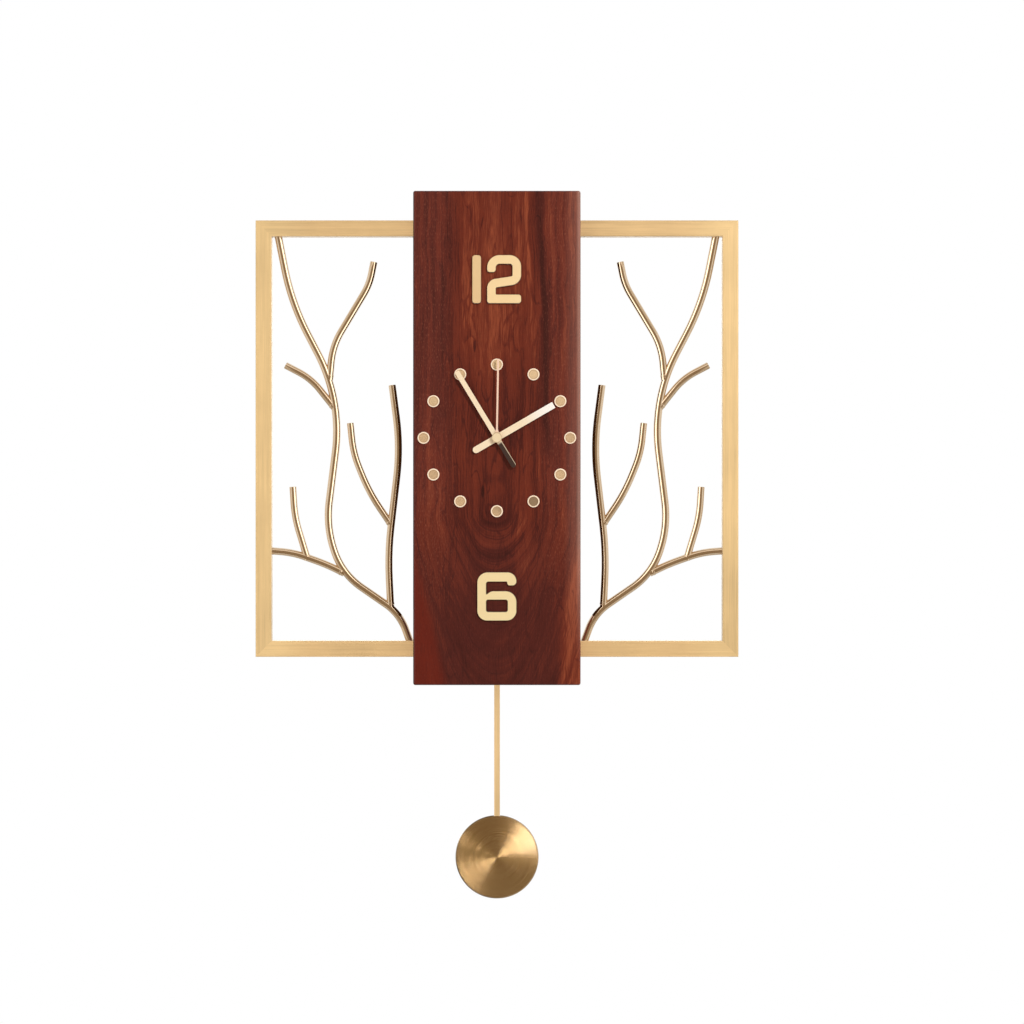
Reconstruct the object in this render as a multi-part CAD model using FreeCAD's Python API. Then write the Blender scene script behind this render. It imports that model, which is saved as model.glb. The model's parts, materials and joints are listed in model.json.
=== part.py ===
import FreeCAD, Part
import math
import os
from FreeCAD import Vector

# Wall clock with a wooden board, an open frame of branch rods and a pendulum.
# Millimetres. +X is to the right as seen from the front, +Y runs from the front
# to the wall and +Z is up. The origin is the entry hole of the hanger plate, in
# the plane of the board's back.

# Shared values
overrun = 2.0
press_gap = 0.0
running_gap = 0.05
screw_gap = 0.04

# Wooden board
board_width = 166.0
board_height = 490.0
board_depth = 22.0
board_edge_round = 2.2
hanger_below_top = 70.0

# Frame of rectangular tube, mitred at the outer corners
frame_width = 483.0
frame_height = 436.6
bar_width = 16.0
bar_depth = 12.0
bar_wall = 1.2
bar_edge_round = 0.8
rail_lap = 34.0

# Branch rods
stem_diameter = 7.6
branch_diameter = 7.3
twig_diameter = 7.0
tip_break = 0.4
bend_share = 0.48

# Each rod's bend points, as shares of the window between stile, rails and board:
# across from the stile, then down from the top rail.
main_stem_shares = ((0.039, -0.010), (0.137, 0.164), (0.491, 0.404), (0.381, 0.716),
                    (0.489, 0.834), (0.896, 0.933), (0.980, 1.012))
upper_fork_shares = ((0.716, 0.062), (0.684, 0.118), (0.427, 0.269), (0.404, 0.354))
side_twig_shares = ((0.095, 0.318), (0.274, 0.351), (0.439, 0.424))
second_stem_shares = ((0.844, 0.367), (0.901, 0.520), (0.815, 0.783), (0.834, 0.918))
inner_twig_shares = ((0.550, 0.461), (0.572, 0.536), (0.681, 0.632), (0.839, 0.714))
lower_branch_shares = ((-0.030, 0.777), (0.148, 0.782), (0.373, 0.810), (0.548, 0.854))
small_twig_shares = ((0.146, 0.619), (0.159, 0.694), (0.250, 0.800))

# Screws, plugs and pads of the frame
rail_screw_radius = 1.9
rail_screw_head_radius = 3.5
rail_screw_head_height = 2.2
rail_screw_bite = 13.0
rail_screw_spacing = 15.0
driver_hole_radius = 4.2
plug_cap = 1.5
plug_depth = 4.0
plug_gap = 0.1
pad_radius = 6.0
pad_thickness = 1.5

# Dial
marker_count = 12
marker_ring_radius = 72.6
marker_radius = 5.95
marker_height = 1.5
marker_rim = 1.1
marker_face_drop = 0.3
marker_edge_break = 0.25
numeral_distance = 157.0
numeral_height = 48.0
numeral_stroke = 9.0
numeral_thickness = 2.5
numeral_corner = 3.0
numeral_edge_break = 0.4
one_left = 24.5
two_left = 9.8
two_width = 34.0
six_width = 39.0

# Outlines of the two numerals that bend, clockwise from a corner: across from the
# left and up from the foot as shares of the numeral's width and height, then the
# corner's rounding as a share of its stroke.
two_outline_shares = ((0.0, 0.641, 0.33), (0.0, 1.0, 1.39), (1.0, 1.0, 1.28), (1.0, 0.403, 1.17),
                      (0.262, 0.324, 0.12), (0.262, 0.187, 0.06), (1.0, 0.187, 0.33),
                      (1.0, 0.0, 0.33), (0.0, 0.0, 0.33), (0.0, 0.486, 1.05),
                      (0.738, 0.565, 0.17), (0.738, 0.813, 0.28), (0.262, 0.813, 0.39),
                      (0.262, 0.641, 0.33))
six_outline_shares = ((0.0, 1.0, 1.15), (1.0, 1.0, 0.98), (1.0, 0.723, 0.45),
                      (0.757, 0.723, 0.31), (0.757, 0.803, 0.08), (0.231, 0.803, 0.25),
                      (0.231, 0.540, 0.04), (0.350, 0.612, 0.90), (1.0, 0.612, 1.20),
                      (1.0, 0.0, 1.10), (0.0, 0.0, 1.10))
six_hole_shares = ((0.231, 0.430, 0.22), (0.772, 0.430, 0.22), (0.772, 0.183, 0.22),
                   (0.231, 0.183, 0.22))

# Hands
hour_hand_length = 65.0
hour_hand_width = 6.6
hour_hand_tail = 27.0
hour_hand_thickness = 0.6
hour_hand_angle = 59.9
minute_hand_length = 76.5
minute_hand_width = 4.9
minute_hand_tail = 34.0
minute_hand_thickness = 0.5
minute_hand_angle = -31.2
seconds_hand_length = 78.0
seconds_hand_width = 1.8
seconds_hand_flare = 4.2
seconds_flare_length = 4.0
seconds_hand_thickness = 0.4
seconds_hand_angle = 1.0
hand_hub_radius = 4.4
hand_gap = 1.3
cap_radius = 5.0
cap_height = 1.6
cap_edge_round = 0.4
hand_tube_proud = 0.3

# Movement housing
case_above_shaft = 28.0
case_below_shaft = 79.0
case_depth = 16.0
case_wall = 1.5
case_corner = 3.0
cover_thickness = 1.2
pocket_gap = 0.5
post_radius = 1.4
pin_radius = 0.8

# Threaded bush with its round slotted nut, sunk in the board under the hands' cap
bush_radius = 3.6
bush_bore_radius = 2.55
bush_flange_radius = 5.4
bush_flange_thickness = 0.8
nut_radius = 4.75
nut_thickness = 1.9
nut_slot_width = 1.2
nut_slot_depth = 0.7
nut_sink = 3.4
nut_hole_gap = 0.15
washer_thickness = 0.4
bush_hole_gap = 0.3
bush_proud = 0.5

# Battery and its bay
battery_radius = 7.25
battery_length = 50.5
battery_nub_radius = 2.7
battery_nub_length = 1.4
battery_below_shaft = 21.0
bay_height = 16.2
bay_wall = 1.0
bay_floor = 0.8
battery_gap = 0.1
contact_thickness = 0.4
contact_radius = 5.0
contact_nose_radius = 1.5
contact_nose_length = 1.7

# Gears: layers run from the front of the case to its back
gear_thickness = 0.9
layer_gap = 0.5
first_layer_gap = 0.5
hour_layer, motion_layer, centre_layer, third_layer = 1, 2, 3, 4
seconds_layer, intermediate_layer, magnet_layer = 5, 6, 7
hand_module = 0.5
hour_wheel_teeth = 32
hour_pinion_teeth = 8
motion_wheel_teeth = 30
cannon_teeth = 10
setting_pinion_teeth = 10
centre_module = 0.34
centre_wheel_teeth = 64
third_pinion_teeth = 8
third_module = 0.36
third_wheel_teeth = 60
seconds_pinion_teeth = 8
seconds_module = 0.5
seconds_wheel_teeth = 40
intermediate_pinion_teeth = 8
motor_module = 0.3
intermediate_wheel_teeth = 48
rotor_pinion_teeth = 8
addendum_share = 0.70
dedendum_share = 1.15
tooth_root_share = 0.50
tooth_tip_share = 0.20

# Directions of the arbors as seen from the front, counter-clockwise from +X
motion_direction = 90.0
third_direction = 30.0
intermediate_direction = 150.0
rotor_direction = 130.0
setting_direction = 125.0

# Arbors and tubes of the train
arbor_radius = 0.5
pivot_radius = 0.3
pivot_length = 0.7
end_play = 0.1
minute_tube_radius = 1.65
hour_tube_radius = 2.5
motion_stud_radius = 0.8
bridge_thickness = 1.0
bridge_below_shaft = 9.0
bridge_above_shaft = 15.5
bridge_post_inset = 4.6
bridge_margin = 1.4

# Motor
magnet_radius = 2.8
magnet_height = 2.0
rotor_clearance = 0.6
lamination = 0.8
stator_left = 21.0
stator_right = 21.0
stator_bottom = 8.5
stator_top = 25.2
stator_bar = 7.8
stator_arm = 3.6
coil_height = 21.3
coil_left = -3.5
coil_length = 19.0
coil_radius = 3.1
coil_flange_radius = 3.5
coil_flange = 0.8
core_width = 3.0

# Circuit board
circuit_left = 12.5
circuit_width = 9.0
circuit_bottom = -8.4
circuit_height = 11.0
circuit_thickness = 0.8
chip_size = 4.0
chip_thickness = 0.9

# Setting knob
knob_radius = 4.0
knob_height = 2.0
knob_gap = 0.4
knob_shaft_radius = 0.9
knob_flutes = 12
knob_flute_radius = 0.5

# Pendulum drive
pivot_below_shaft = 44.0
pivot_pin_radius = 1.2
pivot_flange_radius = 2.4
pivot_flange_thickness = 0.8
pivot_shoulder_radius = 2.0
pivot_shoulder = 0.9
pivot_cap_thickness = 0.8
drive_coil_below_pivot = 22.0
drive_coil_radius = 8.0
drive_coil_bore = 2.4
drive_coil_height = 4.6
drive_coil_flange = 0.6
drive_coil_waist = 6.9
arm_thickness = 3.0
arm_width = 8.0
arm_hub_radius = 4.0
arm_eye_radius = 6.0
arm_length = 33.0
magnet_disc_radius = 4.0
magnet_disc_height = 2.4
hook_below_pivot = 29.0
hook_radius = 1.2
hook_length = 1.5

# Pendulum rod and bob
rod_width = 5.7
rod_thickness = 1.0
rod_eye_lap = 3.6
bob_below_shaft = 419.0
bob_radius = 41.6
bob_wall = 0.8
bob_depth = 3.6
bob_edge_round = 1.4
bob_slot_gap = 0.3
rod_past_bob_centre = 15.0
clip_width = 10.0
clip_foot = 6.0
clip_thickness = 0.5

# Hanger plate, let in flush
hanger_width = 16.0
hanger_below = 18.0
hanger_above = 26.0
hanger_thickness = 1.5
hanger_entry_radius = 4.5
hanger_slot_radius = 2.2
hanger_slot_rise = 9.0
hanger_gap = 0.2
hanger_pocket_depth = 9.0
hanger_pocket_gap = 1.2
hanger_screw_inset = 6.0
hanger_screw_radius = 1.6
hanger_screw_head_radius = 3.1
hanger_screw_length = 14.0
screw_point = 3.0

# Places worked out from the sizes above
dial_below_hanger = board_height / 2 - hanger_below_top
dial_z = -dial_below_hanger
board_front = -board_depth
board_back = 0.0
frame_left = -frame_width / 2
frame_top = dial_z + frame_height / 2
frame_bottom = dial_z - frame_height / 2
rail_end = -board_width / 2 + rail_lap
rod_middle = bar_depth / 2
window_left = frame_left + bar_width
window_width = -board_width / 2 - window_left
window_top = frame_top - bar_width
window_height = frame_height - 2 * bar_width
wall_plane = bar_depth + pad_thickness
case_front = board_back - case_depth
case_inner_front = case_front + case_wall
cover_front = board_back - cover_thickness
nut_floor = board_front + nut_sink
nut_back = nut_floor - washer_thickness
nut_front = nut_back - nut_thickness
bush_front = nut_front - bush_proud
layer_pitch = gear_thickness + layer_gap
battery_z = dial_z - battery_below_shaft
battery_y = case_front + bay_floor + battery_gap + battery_radius
bay_top = battery_z + bay_height / 2
bay_bottom = battery_z - bay_height / 2
bay_length = battery_length + contact_nose_length + 2 * contact_thickness
case_inner_half = bay_length / 2
case_width = bay_length + 2 * case_wall
magnet_front = case_inner_front + first_layer_gap + intermediate_layer * layer_pitch
bridge_front = magnet_front + magnet_height + layer_gap
bridge_back = bridge_front + bridge_thickness
stator_front = bridge_front - layer_gap - magnet_height / 2 - lamination / 2
core_front = stator_front - lamination
pivot_z = dial_z - pivot_below_shaft
arm_front = board_back + pivot_shoulder + end_play
arm_back = arm_front + arm_thickness
rod_back = arm_back + rod_thickness
bob_z = dial_z - bob_below_shaft
bob_inner = arm_back
bob_front = bob_inner - bob_wall
hour_hand_back = board_front - marker_height - hand_gap
hour_hand_front = hour_hand_back - hour_hand_thickness
minute_hand_back = hour_hand_front - hand_gap
minute_hand_front = minute_hand_back - minute_hand_thickness
seconds_hand_back = minute_hand_front - hand_gap
minute_bore_radius = arbor_radius + running_gap
hour_bore_radius = minute_tube_radius + running_gap


# Basic shapes
def box(left, right, front, back, bottom, top):
    return Part.makeBox(right - left, back - front, top - bottom, Vector(left, front, bottom))


def disc(radius, front, back, x=0.0, z=dial_z):
    return Part.makeCylinder(radius, back - front, Vector(x, front, z), Vector(0, 1, 0))


def ring(outer, inner, front, back, x=0.0, z=dial_z):
    bore = disc(inner, front - overrun, back + overrun, x, z)
    return disc(outer, front, back, x, z).cut(bore)


def prism(points, front, back):
    corners = [Vector(x, front, z) for x, z in points]
    face = Part.Face(Part.makePolygon(corners + corners[:1]))
    return face.extrude(Vector(0, back - front, 0))


def turned(profile, x, z):
    """Revolve a profile of (radius, depth) points about an axis along Y."""
    corners = [Vector(x + radius, depth, z) for radius, depth in profile]
    face = Part.Face(Part.makePolygon(corners + corners[:1]))
    return face.revolve(Vector(x, 0, z), Vector(0, 1, 0), 360)


def joined(shapes):
    whole = shapes[0].fuse(shapes[1:]) if len(shapes) > 1 else shapes[0]
    return whole.removeSplitter()


def largest(shape):
    return max(shape.Solids, key=lambda solid: solid.Volume)


def mirrored(shape):
    return shape.mirror(Vector(0, 0, 0), Vector(1, 0, 0))


def eased_block(left, right, front, back, bottom, top, rounding, along):
    """A block whose four edges along one axis are rounded."""
    block = box(left, right, front, back, bottom, top)
    edges = [edge for edge in block.Edges
             if abs(edge.tangentAt(edge.FirstParameter).dot(along)) > 1 / 2]
    return block.makeFillet(rounding, edges)


def upright_block(left, right, front, back, bottom, top, corner):
    """A block whose four edges along the depth are rounded."""
    return eased_block(left, right, front, back, bottom, top, corner, Vector(0, 1, 0))


def turn_about_dial(shape, clockwise):
    shape.rotate(Vector(0, 0, dial_z), Vector(0, 1, 0), clockwise)
    return shape


def save(name, shapes):
    """Write one named piece; a list of shapes becomes a group of separate solids."""
    solids = []
    for shape in shapes if isinstance(shapes, list) else [shapes]:
        solids.extend(shape.Solids)
    piece = solids[0] if len(solids) == 1 else Part.makeCompound(solids)
    piece.exportStep("parts/" + name + ".step")


# Straight runs joined by tangent arcs
def bend(before, corner, after, reach):
    """The arc that rounds a corner, starting and ending at one reach from it."""
    towards_start = (before - corner).normalize()
    towards_end = (after - corner).normalize()
    half_turn = (math.pi - towards_start.getAngle(towards_end)) / 2
    radius = reach / math.tan(half_turn)
    middle_way = (towards_start + towards_end).normalize()
    arc_start = corner + towards_start * reach
    arc_middle = corner + middle_way * (radius / math.cos(half_turn) - radius)
    arc_end = corner + towards_end * reach
    return arc_start, arc_end, Part.Arc(arc_start, arc_middle, arc_end).toShape()


def smooth_path(points, depth, share):
    """An open path in the plane at one depth; bends take a share of the shorter run."""
    corners = [Vector(x, depth, z) for x, z in points]
    edges = []
    start = corners[0]
    for before, corner, after in zip(corners, corners[1:], corners[2:]):
        reach = min((before - corner).Length, (after - corner).Length) * share
        arc_start, arc_end, arc = bend(before, corner, after, reach)
        edges.append(Part.LineSegment(start, arc_start).toShape())
        edges.append(arc)
        start = arc_end
    edges.append(Part.LineSegment(start, corners[-1]).toShape())
    return Part.Wire(edges)


def rounded_loop(points, radii, depth):
    """The edges of a closed outline whose corners have their own radii."""
    corners = [Vector(x, depth, z) for x, z in points]
    bends = []
    for index, corner in enumerate(corners):
        before = corners[index - 1]
        after = corners[(index + 1) % len(corners)]
        opening = (before - corner).getAngle(after - corner)
        bends.append(bend(before, corner, after, radii[index] / math.tan(opening / 2)))
    edges = []
    for index, (arc_start, arc_end, arc) in enumerate(bends):
        edges.append(Part.LineSegment(bends[index - 1][1], arc_start).toShape())
        edges.append(arc)
    return edges


def round_bar(points, diameter):
    path = smooth_path(points, rod_middle, bend_share)
    start = path.Edges[0].Vertexes[0].Point
    heading = path.Edges[0].tangentAt(path.Edges[0].FirstParameter)
    section = Part.Wire(Part.makeCircle(diameter / 2, start, heading))
    bar = path.makePipeShell([section], True, False)
    tip_edges = [edge for edge in bar.Edges
                 if (edge.CenterOfMass - start).Length < running_gap]
    return bar.makeChamfer(tip_break, tip_edges)


# Wooden board
def wood_panel():
    board = box(-board_width / 2, board_width / 2, board_front, board_back,
                dial_z - board_height / 2, dial_z + board_height / 2)
    outer_edges = [edge for edge in board.Edges
                   if min(vertex.Y for vertex in edge.Vertexes) < board_front / 2]
    board = board.makeFillet(board_edge_round, outer_edges)
    cuts = [
        upright_block(-case_width / 2 - pocket_gap, case_width / 2 + pocket_gap,
                      case_front, board_back + overrun,
                      dial_z - case_below_shaft - pocket_gap,
                      dial_z + case_above_shaft + pocket_gap, case_corner + pocket_gap),
        disc(nut_radius + nut_hole_gap, board_front - overrun, nut_floor),
        disc(bush_radius + bush_hole_gap, nut_floor - overrun, case_front + overrun),
        hanger_outline(hanger_gap, -hanger_thickness, board_back + overrun),
        hanger_head_pocket(),
    ]
    for x, z in hanger_screw_places():
        cuts.append(screw_hole(x, z, hanger_screw_radius, hanger_screw_length))
    for x, z in rail_screw_places():
        cuts.append(screw_hole(x, z, rail_screw_radius, rail_screw_bite))
        cuts.append(screw_hole(-x, z, rail_screw_radius, rail_screw_bite))
    return board.cut(cuts)


def screw_hole(x, z, radius, length):
    return disc(radius + screw_gap, board_back - length - screw_gap, board_back + overrun, x, z)


# Hanger plate
def hanger_outline(gap, front, back):
    return upright_block(-hanger_width / 2 - gap, hanger_width / 2 + gap, front, back,
                         -hanger_below - gap, hanger_above + gap, hanger_width / 4)


def hanger_head_pocket():
    """Room in the wood behind the plate for the head of the wall screw."""
    reach = hanger_entry_radius + hanger_pocket_gap
    front = -hanger_thickness - hanger_pocket_depth
    back = -hanger_thickness + overrun
    return upright_block(-reach, reach, front, back, -reach, hanger_slot_rise + reach, reach / 2)


def hanger_screw_places():
    return [(0.0, hanger_above - hanger_screw_inset), (0.0, hanger_screw_inset - hanger_below)]


def countersunk_screw(x, z):
    cone = hanger_screw_head_radius - hanger_screw_radius
    return turned([(0, 0), (hanger_screw_head_radius, 0), (hanger_screw_radius, -cone),
                   (hanger_screw_radius, screw_point - hanger_screw_length),
                   (0, -hanger_screw_length)], x, z)


def countersink(x, z):
    cone = hanger_screw_head_radius - hanger_screw_radius
    bore = hanger_screw_radius
    return turned([(0, overrun), (hanger_screw_head_radius, overrun),
                   (hanger_screw_head_radius, 0), (bore, -cone),
                   (bore, -hanger_thickness - overrun), (0, -hanger_thickness - overrun)], x, z)


def keyhole_plate():
    plate = hanger_outline(0.0, -hanger_thickness, board_back)
    front = -hanger_thickness - overrun
    back = board_back + overrun
    cuts = [
        disc(hanger_entry_radius, front, back, 0.0, 0.0),
        box(-hanger_slot_radius, hanger_slot_radius, front, back, 0.0, hanger_slot_rise),
        disc(hanger_slot_radius, front, back, 0.0, hanger_slot_rise),
    ]
    for x, z in hanger_screw_places():
        cuts.append(countersink(x, z))
    return plate.cut(cuts)


def plate_screws():
    return [countersunk_screw(x, z) for x, z in hanger_screw_places()]


# Frame of rectangular tube: the left side is built, and the right side mirrors it
def left_stile():
    inner = frame_left + bar_width
    bottom = frame_bottom - overrun
    top = frame_top + overrun
    tube = eased_block(frame_left, inner, 0.0, bar_depth, bottom, top,
                       bar_edge_round, Vector(0, 0, 1))
    hollow = box(frame_left + bar_wall, inner - bar_wall, bar_wall, bar_depth - bar_wall,
                 bottom - overrun, top + overrun)
    mitred = prism([(frame_left, frame_top), (frame_left, frame_bottom),
                    (inner, frame_bottom + bar_width), (inner, frame_top - bar_width)],
                   0.0, bar_depth)
    return tube.cut(hollow).common(mitred)


def left_rail(edge, inward):
    """A rail from its mitre to its end behind the board; inward is up or down."""
    inner_edge = edge + inward * bar_width
    bottom, top = sorted((edge, inner_edge))
    left = frame_left - overrun
    tube = eased_block(left, rail_end, 0.0, bar_depth, bottom, top,
                       bar_edge_round, Vector(1, 0, 0))
    mitred = prism([(frame_left, edge), (rail_end, edge), (rail_end, inner_edge),
                    (frame_left + bar_width, inner_edge)], 0.0, bar_depth)
    cuts = [box(left - overrun, rail_end + overrun, bar_wall, bar_depth - bar_wall,
                bottom + bar_wall, top - bar_wall)]
    for x, z in rail_screw_places():
        cuts.append(disc(rail_screw_radius + screw_gap, -overrun, bar_depth / 2, x, z))
        cuts.append(disc(driver_hole_radius, bar_depth / 2, bar_depth + overrun, x, z))
    return tube.cut(cuts).common(mitred)


def rail_screw_places():
    """Left-hand places; the right-hand ones mirror them."""
    middle = rail_end - rail_lap / 2
    places = []
    for z in (frame_top - bar_width / 2, frame_bottom + bar_width / 2):
        places.append((middle - rail_screw_spacing / 2, z))
        places.append((middle + rail_screw_spacing / 2, z))
    return places


def rail_screws():
    screws = []
    for x, z in rail_screw_places():
        head_back = bar_wall + rail_screw_head_height
        screw = turned([(0, head_back), (rail_screw_head_radius, head_back),
                        (rail_screw_head_radius, bar_wall), (rail_screw_radius, bar_wall),
                        (rail_screw_radius, screw_point - rail_screw_bite),
                        (0, -rail_screw_bite)], x, z)
        screws.append(screw)
        screws.append(mirrored(screw))
    return screws


def rail_plugs():
    plugs = []
    for z in (frame_top - bar_width / 2, frame_bottom + bar_width / 2):
        cap = eased_block(rail_end, rail_end + plug_cap, 0.0, bar_depth,
                          z - bar_width / 2, z + bar_width / 2,
                          bar_edge_round, Vector(1, 0, 0))
        inset = bar_wall + plug_gap
        insert = box(rail_end - plug_depth, rail_end, inset, bar_depth - inset,
                     z - bar_width / 2 + inset, z + bar_width / 2 - inset)
        plug = joined([cap, insert])
        plugs.append(plug)
        plugs.append(mirrored(plug))
    return plugs


def wall_pads():
    pads = []
    for x in (frame_left + bar_width / 2, -frame_left - bar_width / 2):
        for z in (frame_top - bar_width / 2, frame_bottom + bar_width / 2):
            pads.append(disc(pad_radius, bar_depth, wall_plane, x, z))
    return pads


# Branch rods, cut to fit the tube or the rod that each meets
def window_points(shares):
    return [(window_left + across * window_width, window_top - down * window_height)
            for across, down in shares]


def left_rods():
    stem = round_bar(window_points(main_stem_shares), stem_diameter)
    upper = round_bar(window_points(upper_fork_shares), branch_diameter)
    side = round_bar(window_points(side_twig_shares), twig_diameter)
    second = round_bar(window_points(second_stem_shares), branch_diameter)
    inner = round_bar(window_points(inner_twig_shares), twig_diameter)
    lower = round_bar(window_points(lower_branch_shares), branch_diameter)
    small = round_bar(window_points(small_twig_shares), twig_diameter)
    top_bar = box(frame_left, rail_end, 0.0, bar_depth, window_top, frame_top)
    bottom_bar = box(frame_left, rail_end, 0.0, bar_depth, frame_bottom,
                     frame_bottom + bar_width)
    side_bar = box(frame_left, window_left, 0.0, bar_depth, frame_bottom, frame_top)
    stem = largest(stem.cut([top_bar, bottom_bar]))
    lower = largest(lower.cut([side_bar, stem]))
    second = largest(second.cut(stem))
    return {
        "main_stem": stem,
        "upper_fork": largest(upper.cut(stem)),
        "side_twig": largest(side.cut(stem)),
        "second_stem": second,
        "inner_twig": largest(inner.cut(second)),
        "lower_branch": lower,
        "small_twig": largest(small.cut(lower)),
    }


# Dial
def hour_markers():
    face = marker_height - marker_face_drop
    markers = []
    for hour in range(marker_count):
        angle = 2 * math.pi * hour / marker_count
        x = marker_ring_radius * math.sin(angle)
        z = dial_z + marker_ring_radius * math.cos(angle)
        profile = [(0, 0), (marker_radius, 0),
                   (marker_radius, marker_height - marker_edge_break),
                   (marker_radius - marker_edge_break, marker_height),
                   (marker_radius - marker_rim, marker_height),
                   (marker_radius - marker_rim - marker_face_drop, face), (0, face)]
        markers.append(turned([(radius, board_front - height) for radius, height in profile],
                              x, z))
    return markers


def broken_edges(shape, front):
    """Take the sharp edge off all round the front face."""
    edges = [edge for edge in shape.Edges
             if max(abs(vertex.Y - front) for vertex in edge.Vertexes) < running_gap]
    return shape.makeChamfer(numeral_edge_break, edges)


def numeral_shape(shares, left, width, centre_z, front, back):
    """A flat shape from a table of outline shares, with its corners rounded."""
    bottom = centre_z - numeral_height / 2
    points = [(left + across * width, bottom + up * numeral_height)
              for across, up, rounding in shares]
    radii = [rounding * numeral_stroke for across, up, rounding in shares]
    wire = Part.Wire(rounded_loop(points, radii, front))
    return Part.Face(wire).extrude(Vector(0, back - front, 0))


def numeral_twelve():
    front = board_front - numeral_thickness
    centre_z = dial_z + numeral_distance
    low = centre_z - numeral_height / 2
    one = upright_block(-one_left, numeral_stroke - one_left, front, board_front,
                        low, low + numeral_height, numeral_corner)
    two = numeral_shape(two_outline_shares, -two_left, two_width, centre_z,
                        front, board_front)
    return [broken_edges(one, front), broken_edges(two, front)]


def numeral_six():
    front = board_front - numeral_thickness
    centre_z = dial_z - numeral_distance
    left = -six_width / 2
    outline = numeral_shape(six_outline_shares, left, six_width, centre_z,
                            front, board_front)
    hole = numeral_shape(six_hole_shares, left, six_width, centre_z,
                         front - overrun, board_front + overrun)
    return broken_edges(outline.cut(hole), front)


# Hands
def straight_hand(length, width, tail, front, back, bore, clockwise):
    """A plain strip with a square tip, a round tail and a hub disc."""
    strip = box(-width / 2, width / 2, front, back, dial_z - tail + width / 2, dial_z + length)
    tail_end = disc(width / 2, front, back, 0.0, dial_z - tail + width / 2)
    hub = disc(hand_hub_radius, front, back)
    hand = joined([strip, tail_end, hub]).cut(disc(bore, front - overrun, back + overrun))
    return turn_about_dial(hand, clockwise)


def hour_hand():
    return straight_hand(hour_hand_length, hour_hand_width, hour_hand_tail, hour_hand_front,
                         hour_hand_back, hour_tube_radius + press_gap, hour_hand_angle)


def minute_hand():
    return straight_hand(minute_hand_length, minute_hand_width, minute_hand_tail,
                         minute_hand_front, minute_hand_back,
                         minute_tube_radius + press_gap, minute_hand_angle)


def seconds_hand():
    front = seconds_hand_back - seconds_hand_thickness
    half = seconds_hand_width / 2
    flare = seconds_hand_flare / 2
    root = cap_radius - cap_edge_round
    strip = prism([(-flare, dial_z + root), (-half, dial_z + root + seconds_flare_length),
                   (-half, dial_z + seconds_hand_length), (half, dial_z + seconds_hand_length),
                   (half, dial_z + root + seconds_flare_length), (flare, dial_z + root),
                   (flare, dial_z), (-flare, dial_z)], front, seconds_hand_back)
    cap_front = seconds_hand_back - cap_height
    cap = turned([(0, seconds_hand_back), (cap_radius, seconds_hand_back),
                  (cap_radius, cap_front + cap_edge_round),
                  (cap_radius - cap_edge_round, cap_front), (0, cap_front)], 0.0, dial_z)
    bore = disc(arbor_radius + press_gap, front, seconds_hand_back + overrun)
    return turn_about_dial(joined([strip, cap]).cut(bore), seconds_hand_angle)


# Gears
def layer_front(layer):
    """Front of a gear layer, counted from one at the front of the case."""
    return case_inner_front + first_layer_gap + (layer - 1) * layer_pitch


def layer_back(layer):
    return layer_front(layer) + gear_thickness


def from_axis(centre, distance, degrees):
    angle = math.radians(degrees)
    return (centre[0] + distance * math.cos(angle), centre[1] + distance * math.sin(angle))


def centre_distance(module, teeth, other_teeth):
    return module * (teeth + other_teeth) / 2


def meshing_phase(centre, teeth, phase, other, other_teeth):
    """The phase that puts a gap of the other gear on a tooth of this one."""
    direction = math.atan2(other[1] - centre[1], other[0] - centre[0])
    offset = (phase - direction) * teeth
    return direction + math.pi + (math.pi - offset) / other_teeth


def gear(centre, module, teeth, phase, front, back):
    pitch_radius = module * teeth / 2
    root = pitch_radius - module * dedendum_share
    tip = pitch_radius + module * addendum_share
    half_step = math.pi / teeth
    points = []
    for tooth in range(teeth):
        middle = phase + 2 * half_step * tooth
        for radius, side in ((root, -tooth_root_share), (tip, -tooth_tip_share),
                             (tip, tooth_tip_share), (root, tooth_root_share)):
            angle = middle + side * half_step
            points.append((centre[0] + radius * math.cos(angle),
                           centre[1] + radius * math.sin(angle)))
    return prism(points, front, back)


dial_axis = (0.0, dial_z)
motion_axis = from_axis(dial_axis, centre_distance(hand_module, cannon_teeth, motion_wheel_teeth),
                        motion_direction)
third_axis = from_axis(dial_axis,
                       centre_distance(centre_module, centre_wheel_teeth, third_pinion_teeth),
                       third_direction)
intermediate_axis = from_axis(dial_axis,
                              centre_distance(seconds_module, seconds_wheel_teeth,
                                              intermediate_pinion_teeth),
                              intermediate_direction)
rotor_axis = from_axis(intermediate_axis,
                       centre_distance(motor_module, intermediate_wheel_teeth,
                                       rotor_pinion_teeth), rotor_direction)
setting_axis = from_axis(motion_axis,
                         centre_distance(hand_module, motion_wheel_teeth,
                                         setting_pinion_teeth), setting_direction)

# Phases: each pinion takes the one that its wheel leaves it
centre_phase = 0.0
cannon_phase = 0.0
seconds_wheel_phase = 0.0
third_pinion_phase = meshing_phase(dial_axis, centre_wheel_teeth, centre_phase,
                                   third_axis, third_pinion_teeth)
third_wheel_phase = 0.0
seconds_pinion_phase = meshing_phase(third_axis, third_wheel_teeth, third_wheel_phase,
                                     dial_axis, seconds_pinion_teeth)
intermediate_pinion_phase = meshing_phase(dial_axis, seconds_wheel_teeth, seconds_wheel_phase,
                                          intermediate_axis, intermediate_pinion_teeth)
intermediate_wheel_phase = 0.0
rotor_phase = meshing_phase(intermediate_axis, intermediate_wheel_teeth,
                            intermediate_wheel_phase, rotor_axis, rotor_pinion_teeth)
motion_wheel_phase = meshing_phase(dial_axis, cannon_teeth, cannon_phase,
                                   motion_axis, motion_wheel_teeth)
setting_phase = meshing_phase(motion_axis, motion_wheel_teeth, motion_wheel_phase,
                              setting_axis, setting_pinion_teeth)
motion_pinion_phase = 0.0
hour_wheel_phase = meshing_phase(motion_axis, hour_pinion_teeth, motion_pinion_phase,
                                 dial_axis, hour_wheel_teeth)


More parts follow.
